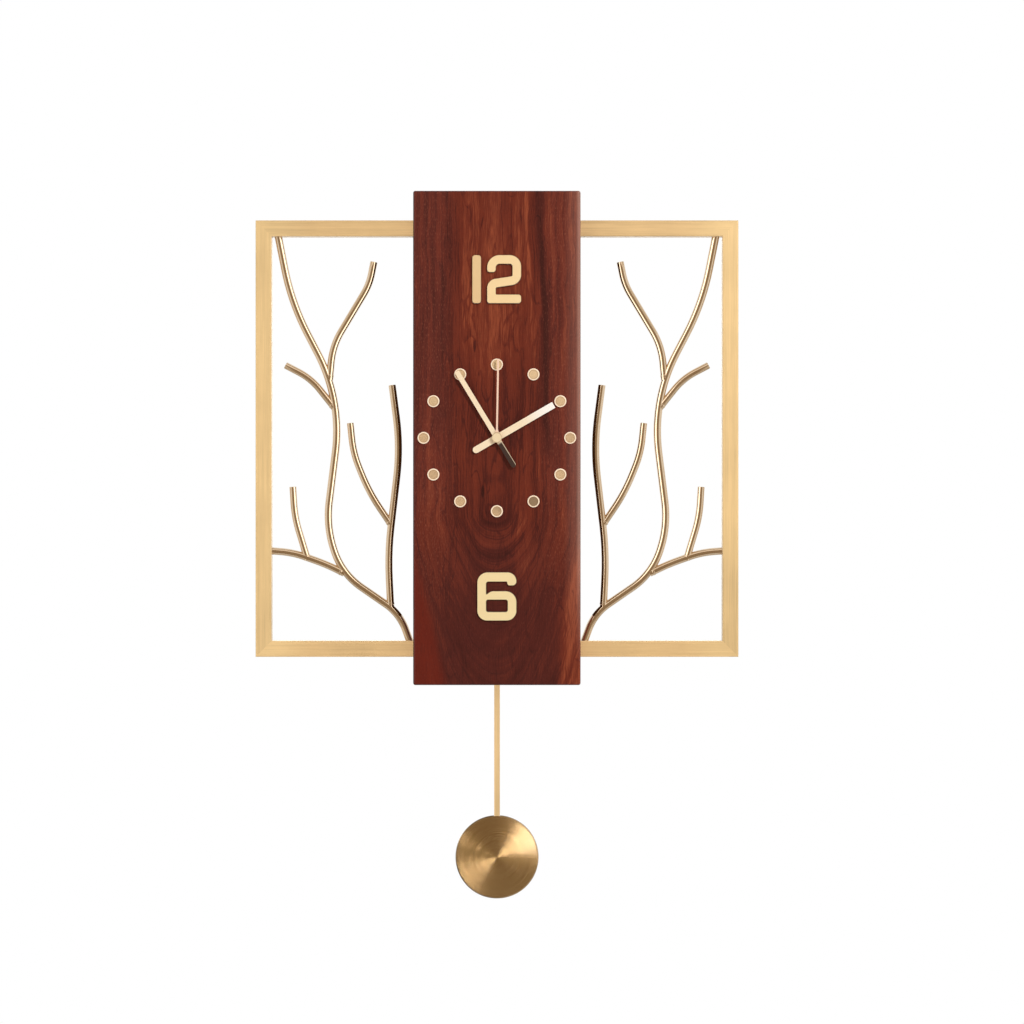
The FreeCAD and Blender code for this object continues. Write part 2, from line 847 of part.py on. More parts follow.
def arbor(axis, back_pivot=True):
    """A shaft from the case front to the bridge, with a thin pivot at each end."""
    x, z = axis
    front = case_inner_front + end_play
    back = bridge_front - end_play
    pieces = [disc(arbor_radius, front, back, x, z),
              disc(pivot_radius, front - pivot_length, front, x, z)]
    if back_pivot:
        pieces.append(disc(pivot_radius, back, back + pivot_length + end_play, x, z))
    return pieces


def rotor():
    x, z = rotor_axis
    return joined(arbor(rotor_axis) + [
        gear(rotor_axis, motor_module, rotor_pinion_teeth, rotor_phase,
             layer_front(intermediate_layer), magnet_front),
        disc(magnet_radius, magnet_front, magnet_front + magnet_height, x, z)])


def intermediate_wheel():
    return joined(arbor(intermediate_axis) + [
        gear(intermediate_axis, seconds_module, intermediate_pinion_teeth,
             intermediate_pinion_phase, layer_front(seconds_layer), layer_front(intermediate_layer)),
        gear(intermediate_axis, motor_module, intermediate_wheel_teeth,
             intermediate_wheel_phase, layer_front(intermediate_layer), layer_back(intermediate_layer))])


def third_wheel():
    return joined(arbor(third_axis) + [
        gear(third_axis, centre_module, third_pinion_teeth, third_pinion_phase,
             layer_front(centre_layer), layer_front(third_layer)),
        gear(third_axis, third_module, third_wheel_teeth, third_wheel_phase,
             layer_front(third_layer), layer_back(third_layer))])


def seconds_wheel():
    shaft_front = seconds_hand_back - seconds_hand_thickness
    back = bridge_front - end_play
    return joined([
        disc(arbor_radius, shaft_front, back),
        disc(pivot_radius, back, back + pivot_length + end_play),
        gear(dial_axis, third_module, seconds_pinion_teeth, seconds_pinion_phase,
             layer_front(third_layer), layer_front(seconds_layer)),
        gear(dial_axis, seconds_module, seconds_wheel_teeth, seconds_wheel_phase,
             layer_front(seconds_layer), layer_back(seconds_layer))])


def centre_wheel():
    tube_front = minute_hand_front - hand_tube_proud
    body = joined([
        disc(minute_tube_radius, tube_front, layer_back(centre_layer)),
        gear(dial_axis, hand_module, cannon_teeth, cannon_phase,
             layer_front(motion_layer), layer_front(centre_layer)),
        gear(dial_axis, centre_module, centre_wheel_teeth, centre_phase,
             layer_front(centre_layer), layer_back(centre_layer))])
    return body.cut(disc(minute_bore_radius, tube_front - overrun, layer_back(centre_layer) + overrun))


def hour_wheel():
    tube_front = hour_hand_front - hand_tube_proud
    body = joined([
        disc(hour_tube_radius, tube_front, layer_back(hour_layer)),
        gear(dial_axis, hand_module, hour_wheel_teeth, hour_wheel_phase,
             layer_front(hour_layer), layer_back(hour_layer))])
    return body.cut(disc(hour_bore_radius, tube_front - overrun, layer_back(hour_layer) + overrun))


def motion_wheel():
    x, z = motion_axis
    body = joined([
        gear(motion_axis, hand_module, hour_pinion_teeth, motion_pinion_phase,
             layer_front(hour_layer), layer_front(motion_layer)),
        gear(motion_axis, hand_module, motion_wheel_teeth, motion_wheel_phase,
             layer_front(motion_layer), layer_back(motion_layer))])
    bore = disc(motion_stud_radius + running_gap, layer_front(hour_layer) - overrun,
                layer_back(motion_layer) + overrun, x, z)
    return body.cut(bore)


def setting_knob():
    x, z = setting_axis
    front = case_inner_front + end_play
    knob_front = board_back + knob_gap
    knob_back = knob_front + knob_height
    knob = disc(knob_radius, knob_front, knob_back, x, z)
    flutes = []
    for flute in range(knob_flutes):
        flute_x, flute_z = from_axis(setting_axis, knob_radius, 360 * flute / knob_flutes)
        flutes.append(disc(knob_flute_radius, knob_front - overrun, knob_back + overrun,
                           flute_x, flute_z))
    return joined([
        knob.cut(flutes),
        disc(knob_shaft_radius, front, knob_front, x, z),
        disc(pivot_radius, front - pivot_length, front, x, z),
        gear(setting_axis, hand_module, setting_pinion_teeth, setting_phase,
             layer_front(motion_layer), layer_back(motion_layer))])


# Movement housing
def bridge_post_places():
    across = case_width / 2 - bridge_post_inset
    down = dial_z - bridge_below_shaft + bridge_margin + post_radius
    up = dial_z + bridge_above_shaft - bridge_margin - post_radius
    return [(-across, down), (across, down), (-across, up), (across, up)]


def stator_post_places():
    z = dial_z + coil_height
    return [(stator_arm / 2 - stator_left, z), (stator_right - stator_arm / 2, z)]


def stepped_post(x, z, shoulder, pin_end):
    return joined([disc(post_radius, case_front + case_wall / 2, shoulder, x, z),
                   disc(pin_radius, shoulder, pin_end, x, z)])


def bay_walls():
    walls = []
    for bottom in (bay_top, bay_bottom - bay_wall):
        walls.append(box(-case_width / 2 + case_wall / 2, case_width / 2 - case_wall / 2,
                         case_front + case_wall / 2, cover_front, bottom, bottom + bay_wall))
    return walls


def movement_case():
    bottom = dial_z - case_below_shaft
    top = dial_z + case_above_shaft
    shell = upright_block(-case_width / 2, case_width / 2, case_front, cover_front,
                          bottom, top, case_corner)
    inside = upright_block(-case_inner_half, case_inner_half, case_inner_front,
                           cover_front + overrun, bottom + case_wall, top - case_wall,
                           case_corner - case_wall)
    coil_z = pivot_z - drive_coil_below_pivot
    coil_back = cover_front - end_play
    coil_front = coil_back - drive_coil_height
    solids = [shell.cut(inside)] + bay_walls()
    for x, z in bridge_post_places():
        solids.append(stepped_post(x, z, bridge_front, bridge_back))
    for x, z in stator_post_places():
        solids.append(stepped_post(x, z, core_front, core_front + 2 * lamination + end_play))
    solids.append(disc(motion_stud_radius, case_front + case_wall / 2,
                       layer_back(motion_layer) + end_play, *motion_axis))
    solids.append(disc(drive_coil_waist / 2, case_front + case_wall / 2, coil_front,
                       0.0, coil_z))
    solids.append(disc(drive_coil_bore - running_gap, coil_front, coil_back - end_play,
                       0.0, coil_z))
    case = joined(solids)
    battery_half = battery_length / 2
    cuts = [
        disc(bush_radius, case_front - overrun, case_inner_front + overrun),
        disc(bush_flange_radius, case_inner_front - bush_flange_thickness,
             case_inner_front + overrun),
        box(-battery_half, battery_half, case_front + bay_floor,
            case_inner_front + overrun, bay_bottom, bay_top),
    ]
    for x, z in (rotor_axis, intermediate_axis, third_axis, setting_axis):
        cuts.append(disc(pivot_radius + running_gap, case_inner_front - pivot_length,
                         case_inner_front + overrun, x, z))
    return case.cut(cuts)


def movement_cover():
    plate = upright_block(-case_width / 2, case_width / 2, cover_front, board_back,
                          dial_z - case_below_shaft, dial_z + case_above_shaft, case_corner)
    front = cover_front - overrun
    back = board_back + overrun
    cuts = [
        box(-case_inner_half, case_inner_half, front, back, bay_bottom, bay_top),
        disc(knob_shaft_radius + running_gap, front, back, *setting_axis),
        disc(pivot_pin_radius, front, back, 0.0, pivot_z),
    ]
    return plate.cut(cuts)


def gear_bridge():
    half = case_inner_half - bridge_margin / 2
    plate = upright_block(-half, half, bridge_front, bridge_back,
                          dial_z - bridge_below_shaft, dial_z + bridge_above_shaft,
                          post_radius)
    cuts = []
    for x, z in (dial_axis, rotor_axis, intermediate_axis, third_axis):
        cuts.append(disc(pivot_radius + running_gap, bridge_front - overrun,
                         bridge_back + overrun, x, z))
    for x, z in bridge_post_places():
        cuts.append(disc(pin_radius, bridge_front - overrun, bridge_back + overrun, x, z))
    return plate.cut(cuts)


def mounting_bush():
    flange_front = case_inner_front - bush_flange_thickness
    return joined([ring(bush_radius, bush_bore_radius, bush_front, case_inner_front),
                   ring(bush_flange_radius, bush_bore_radius, flange_front, case_inner_front)])


def bush_nut():
    nut = ring(nut_radius, bush_radius, nut_front, nut_back)
    slot = box(-nut_radius - overrun, nut_radius + overrun, nut_front - overrun,
               nut_front + nut_slot_depth, dial_z - nut_slot_width / 2,
               dial_z + nut_slot_width / 2)
    return nut.cut(slot)


def bush_washer():
    return ring(nut_radius, bush_radius, nut_back, nut_floor)


# Battery
def battery():
    half = battery_length / 2
    can = Part.makeCylinder(battery_radius, battery_length - battery_nub_length,
                            Vector(-half + contact_nose(), battery_y, battery_z),
                            Vector(1, 0, 0))
    can_end = -half + contact_nose() + battery_length - battery_nub_length
    nub = Part.makeCylinder(battery_nub_radius, battery_nub_length,
                            Vector(can_end, battery_y, battery_z), Vector(1, 0, 0))
    return joined([can, nub])


def contact_nose():
    """How far the battery stands right of the bay's middle, against its plate."""
    return case_inner_half - contact_thickness - battery_length / 2


def battery_contacts():
    plates = []
    for x in (-case_inner_half, case_inner_half - contact_thickness):
        plates.append(Part.makeCylinder(contact_radius, contact_thickness,
                                        Vector(x, battery_y, battery_z), Vector(1, 0, 0)))
    nose_start = -case_inner_half + contact_thickness
    nose_end = -battery_length / 2 + contact_nose()
    nose = Part.makeCone(contact_radius, contact_nose_radius, nose_end - nose_start,
                         Vector(nose_start, battery_y, battery_z), Vector(1, 0, 0))
    return [joined([plates[0], nose]), plates[1]]


def circuit_board():
    back = bridge_front
    front = back - circuit_thickness
    bottom = dial_z + circuit_bottom
    board = box(circuit_left, circuit_left + circuit_width, front, back,
                bottom, bottom + circuit_height)
    chip_left = circuit_left + (circuit_width - chip_size) / 2
    chip_bottom = bottom + (circuit_height - chip_size) / 2
    chip = box(chip_left, chip_left + chip_size, front - chip_thickness, front,
               chip_bottom, chip_bottom + chip_size)
    return joined([board, chip])


# Motor
def motor_stator():
    left = -stator_left
    right = stator_right
    bottom = dial_z + stator_bottom
    top = dial_z + stator_top
    back = stator_front + lamination
    outline = prism([(left, bottom), (right, bottom), (right, top), (right - stator_arm, top),
                     (right - stator_arm, bottom + stator_bar),
                     (left + stator_arm, bottom + stator_bar), (left + stator_arm, top),
                     (left, top)], stator_front, back)
    cuts = [disc(magnet_radius + rotor_clearance, stator_front - overrun, back + overrun,
                 *rotor_axis)]
    for x, z in stator_post_places():
        cuts.append(disc(pin_radius, stator_front - overrun, back + overrun, x, z))
    return outline.cut(cuts)


def motor_coil():
    """Core bar with its bobbin and winding, laid across the two stator arms."""
    z = dial_z + coil_height
    middle = core_front + lamination / 2
    core = box(-stator_left, stator_right, core_front, core_front + lamination,
               z - core_width / 2, z + core_width / 2)
    pieces = [core]
    for left, length, radius in ((coil_left, coil_flange, coil_flange_radius),
                                 (coil_left, coil_length, coil_radius),
                                 (coil_left + coil_length - coil_flange, coil_flange,
                                  coil_flange_radius)):
        pieces.append(Part.makeCylinder(radius, length, Vector(left, middle, z),
                                        Vector(1, 0, 0)))
    cuts = []
    for x, post_z in stator_post_places():
        cuts.append(disc(pin_radius, core_front - overrun, core_front + lamination + overrun,
                         x, post_z))
    return joined(pieces).cut(cuts)


# Pendulum drive
def pendulum_coil():
    z = pivot_z - drive_coil_below_pivot
    back = cover_front - end_play
    front = back - drive_coil_height
    profile = [(drive_coil_bore, front), (drive_coil_radius, front),
               (drive_coil_radius, front + drive_coil_flange),
               (drive_coil_waist, front + drive_coil_flange),
               (drive_coil_waist, back - drive_coil_flange),
               (drive_coil_radius, back - drive_coil_flange), (drive_coil_radius, back),
               (drive_coil_bore, back)]
    return turned(profile, 0.0, z)


def pendulum_pivot():
    shoulder_back = board_back + pivot_shoulder
    cap_front = arm_back + end_play
    profile = [(0, cover_front - pivot_flange_thickness),
               (pivot_flange_radius, cover_front - pivot_flange_thickness),
               (pivot_flange_radius, cover_front), (pivot_pin_radius, cover_front),
               (pivot_pin_radius, board_back), (pivot_shoulder_radius, board_back),
               (pivot_shoulder_radius, shoulder_back), (pivot_pin_radius, shoulder_back),
               (pivot_pin_radius, cap_front), (pivot_shoulder_radius, cap_front),
               (pivot_shoulder_radius, cap_front + pivot_cap_thickness),
               (0, cap_front + pivot_cap_thickness)]
    return turned(profile, 0.0, pivot_z)


def pendulum_arm():
    magnet_z = pivot_z - drive_coil_below_pivot
    hook_z = pivot_z - hook_below_pivot
    arm = joined([
        disc(arm_hub_radius, arm_front, arm_back, 0.0, pivot_z),
        box(-arm_width / 2, arm_width / 2, arm_front, arm_back, pivot_z - arm_length, pivot_z),
        disc(arm_eye_radius, arm_front, arm_back, 0.0, magnet_z),
        disc(hook_radius, arm_back, arm_back + hook_length, 0.0, hook_z)])
    cuts = [
        disc(pivot_pin_radius + running_gap, arm_front - overrun, arm_back + overrun,
             0.0, pivot_z),
        disc(magnet_disc_radius, arm_front - overrun, arm_front + magnet_disc_height,
             0.0, magnet_z),
    ]
    return arm.cut(cuts)


def arm_magnet():
    magnet_z = pivot_z - drive_coil_below_pivot
    return disc(magnet_disc_radius, arm_front, arm_front + magnet_disc_height, 0.0, magnet_z)


def pendulum_rod():
    hook_z = pivot_z - hook_below_pivot
    top = hook_z + rod_eye_lap
    bottom = bob_z - rod_past_bob_centre
    strip = upright_block(-rod_width / 2, rod_width / 2, arm_back, rod_back, bottom, top,
                          rod_width / 4)
    eye = disc(hook_radius + press_gap, arm_back - overrun, rod_back + overrun, 0.0, hook_z)
    return strip.cut(eye)


def pendulum_bob():
    rim_back = bob_front + bob_depth
    inner = bob_radius - bob_wall
    profile = [(0, bob_front), (bob_radius - bob_edge_round, bob_front),
               (bob_radius, bob_front + bob_edge_round), (bob_radius, rim_back),
               (inner, rim_back), (inner, bob_inner + bob_edge_round - bob_wall / 2),
               (inner - bob_edge_round + bob_wall / 2, bob_inner), (0, bob_inner)]
    slot = box(-rod_width / 2 - bob_slot_gap, rod_width / 2 + bob_slot_gap, bob_inner,
               rim_back + overrun, bob_z, bob_z + bob_radius + overrun)
    return turned(profile, 0.0, bob_z).cut(slot)


def bob_clip():
    """A strap over the rod with a foot on the bob at each side."""
    half = rod_width / 2 + running_gap
    foot_end = half + clip_thickness + clip_foot
    over = rod_back + running_gap
    points = [(-foot_end, bob_inner), (-half, bob_inner), (-half, over), (half, over),
              (half, bob_inner), (foot_end, bob_inner), (foot_end, bob_inner + clip_thickness),
              (half + clip_thickness, bob_inner + clip_thickness),
              (half + clip_thickness, over + clip_thickness),
              (-half - clip_thickness, over + clip_thickness),
              (-half - clip_thickness, bob_inner + clip_thickness),
              (-foot_end, bob_inner + clip_thickness)]
    corners = [Vector(x, y, bob_z - clip_width / 2) for x, y in points]
    face = Part.Face(Part.makePolygon(corners + corners[:1]))
    return face.extrude(Vector(0, 0, clip_width))


# Write every piece
os.makedirs("parts", exist_ok=True)

for builder in (wood_panel, keyhole_plate, plate_screws, rail_screws, rail_plugs, wall_pads,
                hour_markers, numeral_twelve, numeral_six, hour_hand, minute_hand,
                seconds_hand, movement_case, movement_cover, gear_bridge, mounting_bush,
                bush_nut, bush_washer, battery, battery_contacts, circuit_board,
                motor_stator, motor_coil, rotor, intermediate_wheel, seconds_wheel,
                third_wheel, centre_wheel, motion_wheel, hour_wheel, setting_knob,
                pendulum_coil, pendulum_pivot, pendulum_arm, arm_magnet, pendulum_rod,
                pendulum_bob, bob_clip):
    save(builder.__name__, builder())

left_pieces = left_rods()
left_pieces["stile"] = left_stile()
left_pieces["top_rail"] = left_rail(frame_top, -1)
left_pieces["bottom_rail"] = left_rail(frame_bottom, 1)
for name, shape in left_pieces.items():
    save("left_" + name, shape)
    save("right_" + name, mirrored(shape))
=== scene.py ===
"""Finishes, studs, welds and studio for a wall pendulum clock with a wooden board."""

import json
import math

import bpy
from bpy.props import FloatProperty, FloatVectorProperty, IntProperty, PointerProperty
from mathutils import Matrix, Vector

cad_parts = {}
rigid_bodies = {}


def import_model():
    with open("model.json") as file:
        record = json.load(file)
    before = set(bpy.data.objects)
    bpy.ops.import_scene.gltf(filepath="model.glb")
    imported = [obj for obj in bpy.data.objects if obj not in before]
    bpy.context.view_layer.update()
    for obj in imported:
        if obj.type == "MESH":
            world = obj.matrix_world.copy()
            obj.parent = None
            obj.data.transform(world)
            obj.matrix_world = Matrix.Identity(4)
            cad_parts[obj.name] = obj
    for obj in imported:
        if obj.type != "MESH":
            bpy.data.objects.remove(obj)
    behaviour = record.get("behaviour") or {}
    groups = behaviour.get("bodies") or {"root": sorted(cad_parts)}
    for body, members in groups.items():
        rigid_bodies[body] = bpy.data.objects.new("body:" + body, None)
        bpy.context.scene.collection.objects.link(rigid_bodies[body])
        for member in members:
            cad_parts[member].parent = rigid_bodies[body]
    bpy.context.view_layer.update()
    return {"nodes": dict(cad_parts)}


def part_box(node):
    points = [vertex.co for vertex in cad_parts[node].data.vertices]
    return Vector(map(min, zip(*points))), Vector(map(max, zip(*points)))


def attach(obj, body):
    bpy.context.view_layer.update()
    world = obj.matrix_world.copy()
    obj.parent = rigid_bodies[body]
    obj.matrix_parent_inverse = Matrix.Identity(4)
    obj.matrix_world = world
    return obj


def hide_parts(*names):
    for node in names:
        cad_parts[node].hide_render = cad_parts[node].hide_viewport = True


bl_info = {
    "name": "Wall pendulum clock finish",
    "version": (1, 0, 0),
    "blender": (4, 5, 0),
    "location": "3D View > Sidebar > Clock",
    "description": "Paints the clock's wood and metals, models its hour studs and lights it",
    "category": "Object",
}

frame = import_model()
nodes = frame["nodes"]

MM = 0.001
SMOOTH_BELOW = math.radians(35)
SENSOR_MM = 36.0
PICTURE_PIXELS = 1024
FOCAL_PIXELS = 2300
FLAT = (0.0, 0.0, 0.0)
UPRIGHT = (math.pi / 2, 0.0, 0.0)
SIDEWAYS = (0.0, math.pi / 2, 0.0)

# The way that each hand points at rest, across and up.
HOUR_WAY = (0.853, 0.522)
MINUTE_WAY = (-0.530, 0.848)

board_low, board_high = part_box("wood_panel")
dial_low, dial_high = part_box("hour_markers")
bob_low, bob_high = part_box("pendulum_bob")
stile_low, stile_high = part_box("left_stile")
rod_low, rod_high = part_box("pendulum_rod")
numeral_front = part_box("numeral_six")[0].y
dial_height = (dial_low.z + dial_high.z) / 2
bob_centre = ((bob_low.x + bob_high.x) / 2, 0.0, (bob_low.z + bob_high.z) / 2)
dial_centre = (0.0, 0.0, dial_height)

window_left = stile_high.x
window_right = board_low.x
window_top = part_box("left_top_rail")[0].z
window_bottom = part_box("left_bottom_rail")[1].z
rod_depth = (stile_low.y + stile_high.y) / 2

# Bend points of each rod as shares of the window: across from the stile, down from the rail.
# A rod's two ends are open tips, joints inside another rod, or cut flush at the frame.
rods = {
    "main_stem": ("stem", "top", "bottom",
                  ((0.039, -0.010), (0.137, 0.164), (0.491, 0.404), (0.381, 0.716),
                   (0.489, 0.834), (0.896, 0.933), (0.980, 1.012))),
    "upper_fork": ("branch", "tip", "joint",
                   ((0.716, 0.062), (0.684, 0.118), (0.427, 0.269), (0.404, 0.354))),
    "side_twig": ("twig", "tip", "joint", ((0.095, 0.318), (0.274, 0.351), (0.439, 0.424))),
    "second_stem": ("branch", "tip", "joint",
                    ((0.844, 0.367), (0.901, 0.520), (0.815, 0.783), (0.834, 0.918))),
    "inner_twig": ("twig", "tip", "joint",
                   ((0.550, 0.461), (0.572, 0.536), (0.681, 0.632), (0.839, 0.714))),
    "lower_branch": ("branch", "side", "joint",
                     ((-0.030, 0.777), (0.148, 0.782), (0.373, 0.810), (0.508, 0.833))),
    "small_twig": ("twig", "tip", "joint", ((0.146, 0.619), (0.159, 0.694), (0.250, 0.800))),
}
sides = {"left": 1, "right": -1}


def window_point(way, across, down):
    """A place in a side window: way is 1 for the left window and -1 for the right one."""
    return Vector((way * (window_left + across * (window_right - window_left)), rod_depth,
                   window_top + down * (window_bottom - window_top)))


def screen_colour(red, green, blue):
    """A colour picked on a screen, as the light values that a shader takes."""
    def light(level):
        share = level / 255
        return share / 12.92 if share <= 0.04045 else ((share + 0.055) / 1.055) ** 2.4
    return (light(red), light(green), light(blue), 1.0)


def darker(colour, *shares):
    """A colour with its levels multiplied, all by one share or each by its own."""
    return tuple(level * share for level, share in zip(colour[:3], shares * 3)) + (1.0,)


def colour_choice(name, description, *levels):
    return FloatVectorProperty(name=name, description=description, size=4, subtype="COLOR",
                               min=0.0, max=1.0, default=screen_colour(*levels))


def length_choice(name, description, metres):
    return FloatProperty(name=name, description=description, default=metres, unit="LENGTH",
                         precision=5)


def share_choice(name, description, share):
    return FloatProperty(name=name, description=description, default=share, subtype="FACTOR",
                         min=0.0, max=1.0)


class BoardLook(bpy.types.PropertyGroup):
    """Colours and grain of the wooden board."""

    darkest: colour_choice("Darkest line", "Dark lines of the grain", 52, 17, 13)
    dark: colour_choice("Dark wood", "Shaded side of each band", 76, 27, 20)
    middle: colour_choice("Middle wood", "Most of the board", 105, 40, 25)
    light: colour_choice("Light wood", "Bright bands and the right edge", 142, 67, 41)
    red: colour_choice("Red wood", "Zone low on the left", 102, 28, 14)
    deep: colour_choice("Deep wood", "Tone that settles over the lower half", 80, 33, 28)
    purple: colour_choice("Purple wood", "Cooler zones at both sides", 108, 50, 41)
    # Painted glints: flecks of reflected light laid into the lacquer's colour.
    glint: colour_choice("Glint", "Fine light flecks in the lacquer", 158, 90, 68)
    ring_gap: length_choice("Ring gap", "Distance from one growth ring to the next", 0.0046)
    arch_top: length_choice("Arch top", "How far the arches start below the dial's centre",
                            0.076)
    arch_depth: length_choice("Arch depth", "Depth of the heart behind the front", 0.034)
    # Painted sheen: a paler colour for light caught on the rounded right edge.
    painted_sheen: colour_choice("Edge sheen", "Paler wood along the right edge", 202, 160, 142)
    gloss: share_choice("Roughness", "How dull the lacquer is", 0.24)


class MetalLook(bpy.types.PropertyGroup):
    """Colours of the metal pieces."""

    frame_gold: colour_choice("Upright bars", "Brushed uprights of the frame", 228, 194, 138)
    rail_gold: colour_choice("Level bars", "Brushed rails of the frame", 220, 184, 130)
    rod_gold: colour_choice("Rods", "Polished branch rods", 228, 207, 180)
    stud_gold: colour_choice("Stud face", "Matt middle of each hour stud", 221, 187, 144)
    stud_rim: colour_choice("Stud rim", "Bright rim of each hour stud", 255, 230, 200)
    numeral_gold: colour_choice("Numbers", "Raised numbers", 245, 214, 162)
    hand_gold: colour_choice("Hands", "Hour and minute hands", 255, 233, 199)
    cap_gold: colour_choice("Hand cap", "Cap over the hands' middle", 247, 223, 182)
    # Painted dark reflection on the minute hand's tail.
    tail_reflection: colour_choice("Minute tail", "Darkened tail of the minute hand", 62, 42, 33)
    seconds_gold: colour_choice("Seconds hand", "Slim pinkish hand", 255, 218, 192)
    pendulum_gold: colour_choice("Pendulum rod", "Flat satin rod", 228, 193, 140)
    bob_gold: colour_choice("Bob", "Spun disc", 181, 149, 103)


class StudSizes(bpy.types.PropertyGroup):
    """Sizes of the twelve hour studs."""

    count: IntProperty(name="Studs", description="How many studs ring the dial", default=12,
                       min=1)
    radius: length_choice("Radius", "Half the width of one stud", 0.00595)
    rim: length_choice("Rim", "Width of the bright rim", 0.0011)
    drop: length_choice("Drop", "How far the face lies below the rim", 0.0003)
    edge: length_choice("Edge", "Rounding of the outer edge", 0.00025)


class RodSizes(bpy.types.PropertyGroup):
    """Thickness and smoothness of the bent branch rods."""

    stem: length_choice("Stem", "Diameter of the main stem", 0.0076)
    branch: length_choice("Branch", "Diameter of the forks and branches", 0.0073)
    twig: length_choice("Twig", "Diameter of the twigs", 0.0070)
    tip: length_choice("Tip edge", "Edge broken round each open tip", 0.0004)
    bend: share_choice("Bend", "Share of the shorter run that a bend takes", 0.48)
    weld_width: FloatProperty(name="Weld width", default=1.08,
                              description="Width of a weld bead over the rod's width")
    weld_length: FloatProperty(name="Weld length", default=0.95,
                               description="Length of a weld bead over the rod's width")
    weld_back: FloatProperty(name="Weld place", default=1.05,
                             description="From the rod's end back to the bead, in half widths")
    sides: IntProperty(name="Sides", description="Faces round a rod", default=48, min=8)


class StudioLook(bpy.types.PropertyGroup):
    """Floor, lamps and camera."""

    floor_drop: length_choice("Floor drop", "From the hanger down to the floor", 1.75)
    floor_span: length_choice("Floor span", "Width and depth of the floor", 6.0)
    floor_tone: colour_choice("Floor", "Pale floor", 242, 242, 240)
    camera_distance: length_choice("Camera distance", "From the wall plane to the camera", 2.3)
    camera_aside: length_choice("Camera aside", "To the right of the clock's middle", 0.015)
    camera_drop: length_choice("Camera drop", "Below the dial's centre", 0.0734)
    room_light: share_choice("Room light", "Strength of the even light of the room", 0.40)
    card_tone: colour_choice("Card", "Dark cards that polished metal reflects", 157, 137, 113)
    card_edge: colour_choice("Card edge", "Paler sides of the card", 222, 214, 200)
    flag_tone: colour_choice("Flag", "Dark strips beside the board", 58, 34, 16)


def sign(operation, turned=False):
    """Makes the method behind one sign of arithmetic."""
    def method(self, other):
        pair = (other, self) if turned else (self, other)
        return self.finish.calculate(operation, *pair)
    return method


class Value:
    """A number that a shader works out. Plain arithmetic joins values into new ones."""

    def __init__(self, finish, socket):
        self.finish = finish
        self.socket = socket

    __add__, __radd__ = sign("ADD"), sign("ADD", turned=True)
    __sub__, __rsub__ = sign("SUBTRACT"), sign("SUBTRACT", turned=True)
    __mul__, __rmul__ = sign("MULTIPLY"), sign("MULTIPLY", turned=True)
    __truediv__, __rtruediv__ = sign("DIVIDE"), sign("DIVIDE", turned=True)
    __pow__ = sign("POWER")

    def __neg__(self):
        return self * -1.0

    def __abs__(self):
        return self.finish.calculate("ABSOLUTE", self)


class Wiring:
    """The nodes of one material or of the room's light."""

    def __init__(self, owner):
        owner.use_nodes = True
        self.tree = owner.node_tree
        self.tree.nodes.clear()

    def feed(self, socket, value):
        if isinstance(value, Value):
            self.tree.links.new(value.socket, socket)
        else:
            socket.default_value = value

    def node(self, kind, settings=None, sockets=None, out=0):
        """Adds a node, sets it up, feeds its sockets and returns what comes out of it."""
        made = self.tree.nodes.new(kind)
        for name, setting in (settings or {}).items():
            setattr(made, name, setting)
        for key, value in (sockets or {}).items():
            self.feed(made.inputs[key], value)
        if out is None:
            return None
        if isinstance(out, tuple):
            return tuple(Value(self, made.outputs[name]) for name in out)
        return Value(self, made.outputs[out])

    def calculate(self, operation, first, second=0.0):
        return self.node("ShaderNodeMath", {"operation": operation}, {0: first, 1: second})

    def larger(self, first, second):
        return self.calculate("MAXIMUM", first, second)

    def stretch(self, value, start, end, low=0.0, high=1.0, kind="LINEAR"):
        """Runs from low to high between start and end, and stays there outside."""
        return self.node("ShaderNodeMapRange", {"interpolation_type": kind},
                         {"Value": value, "From Min": start, "From Max": end,
                          "To Min": low, "To Max": high})


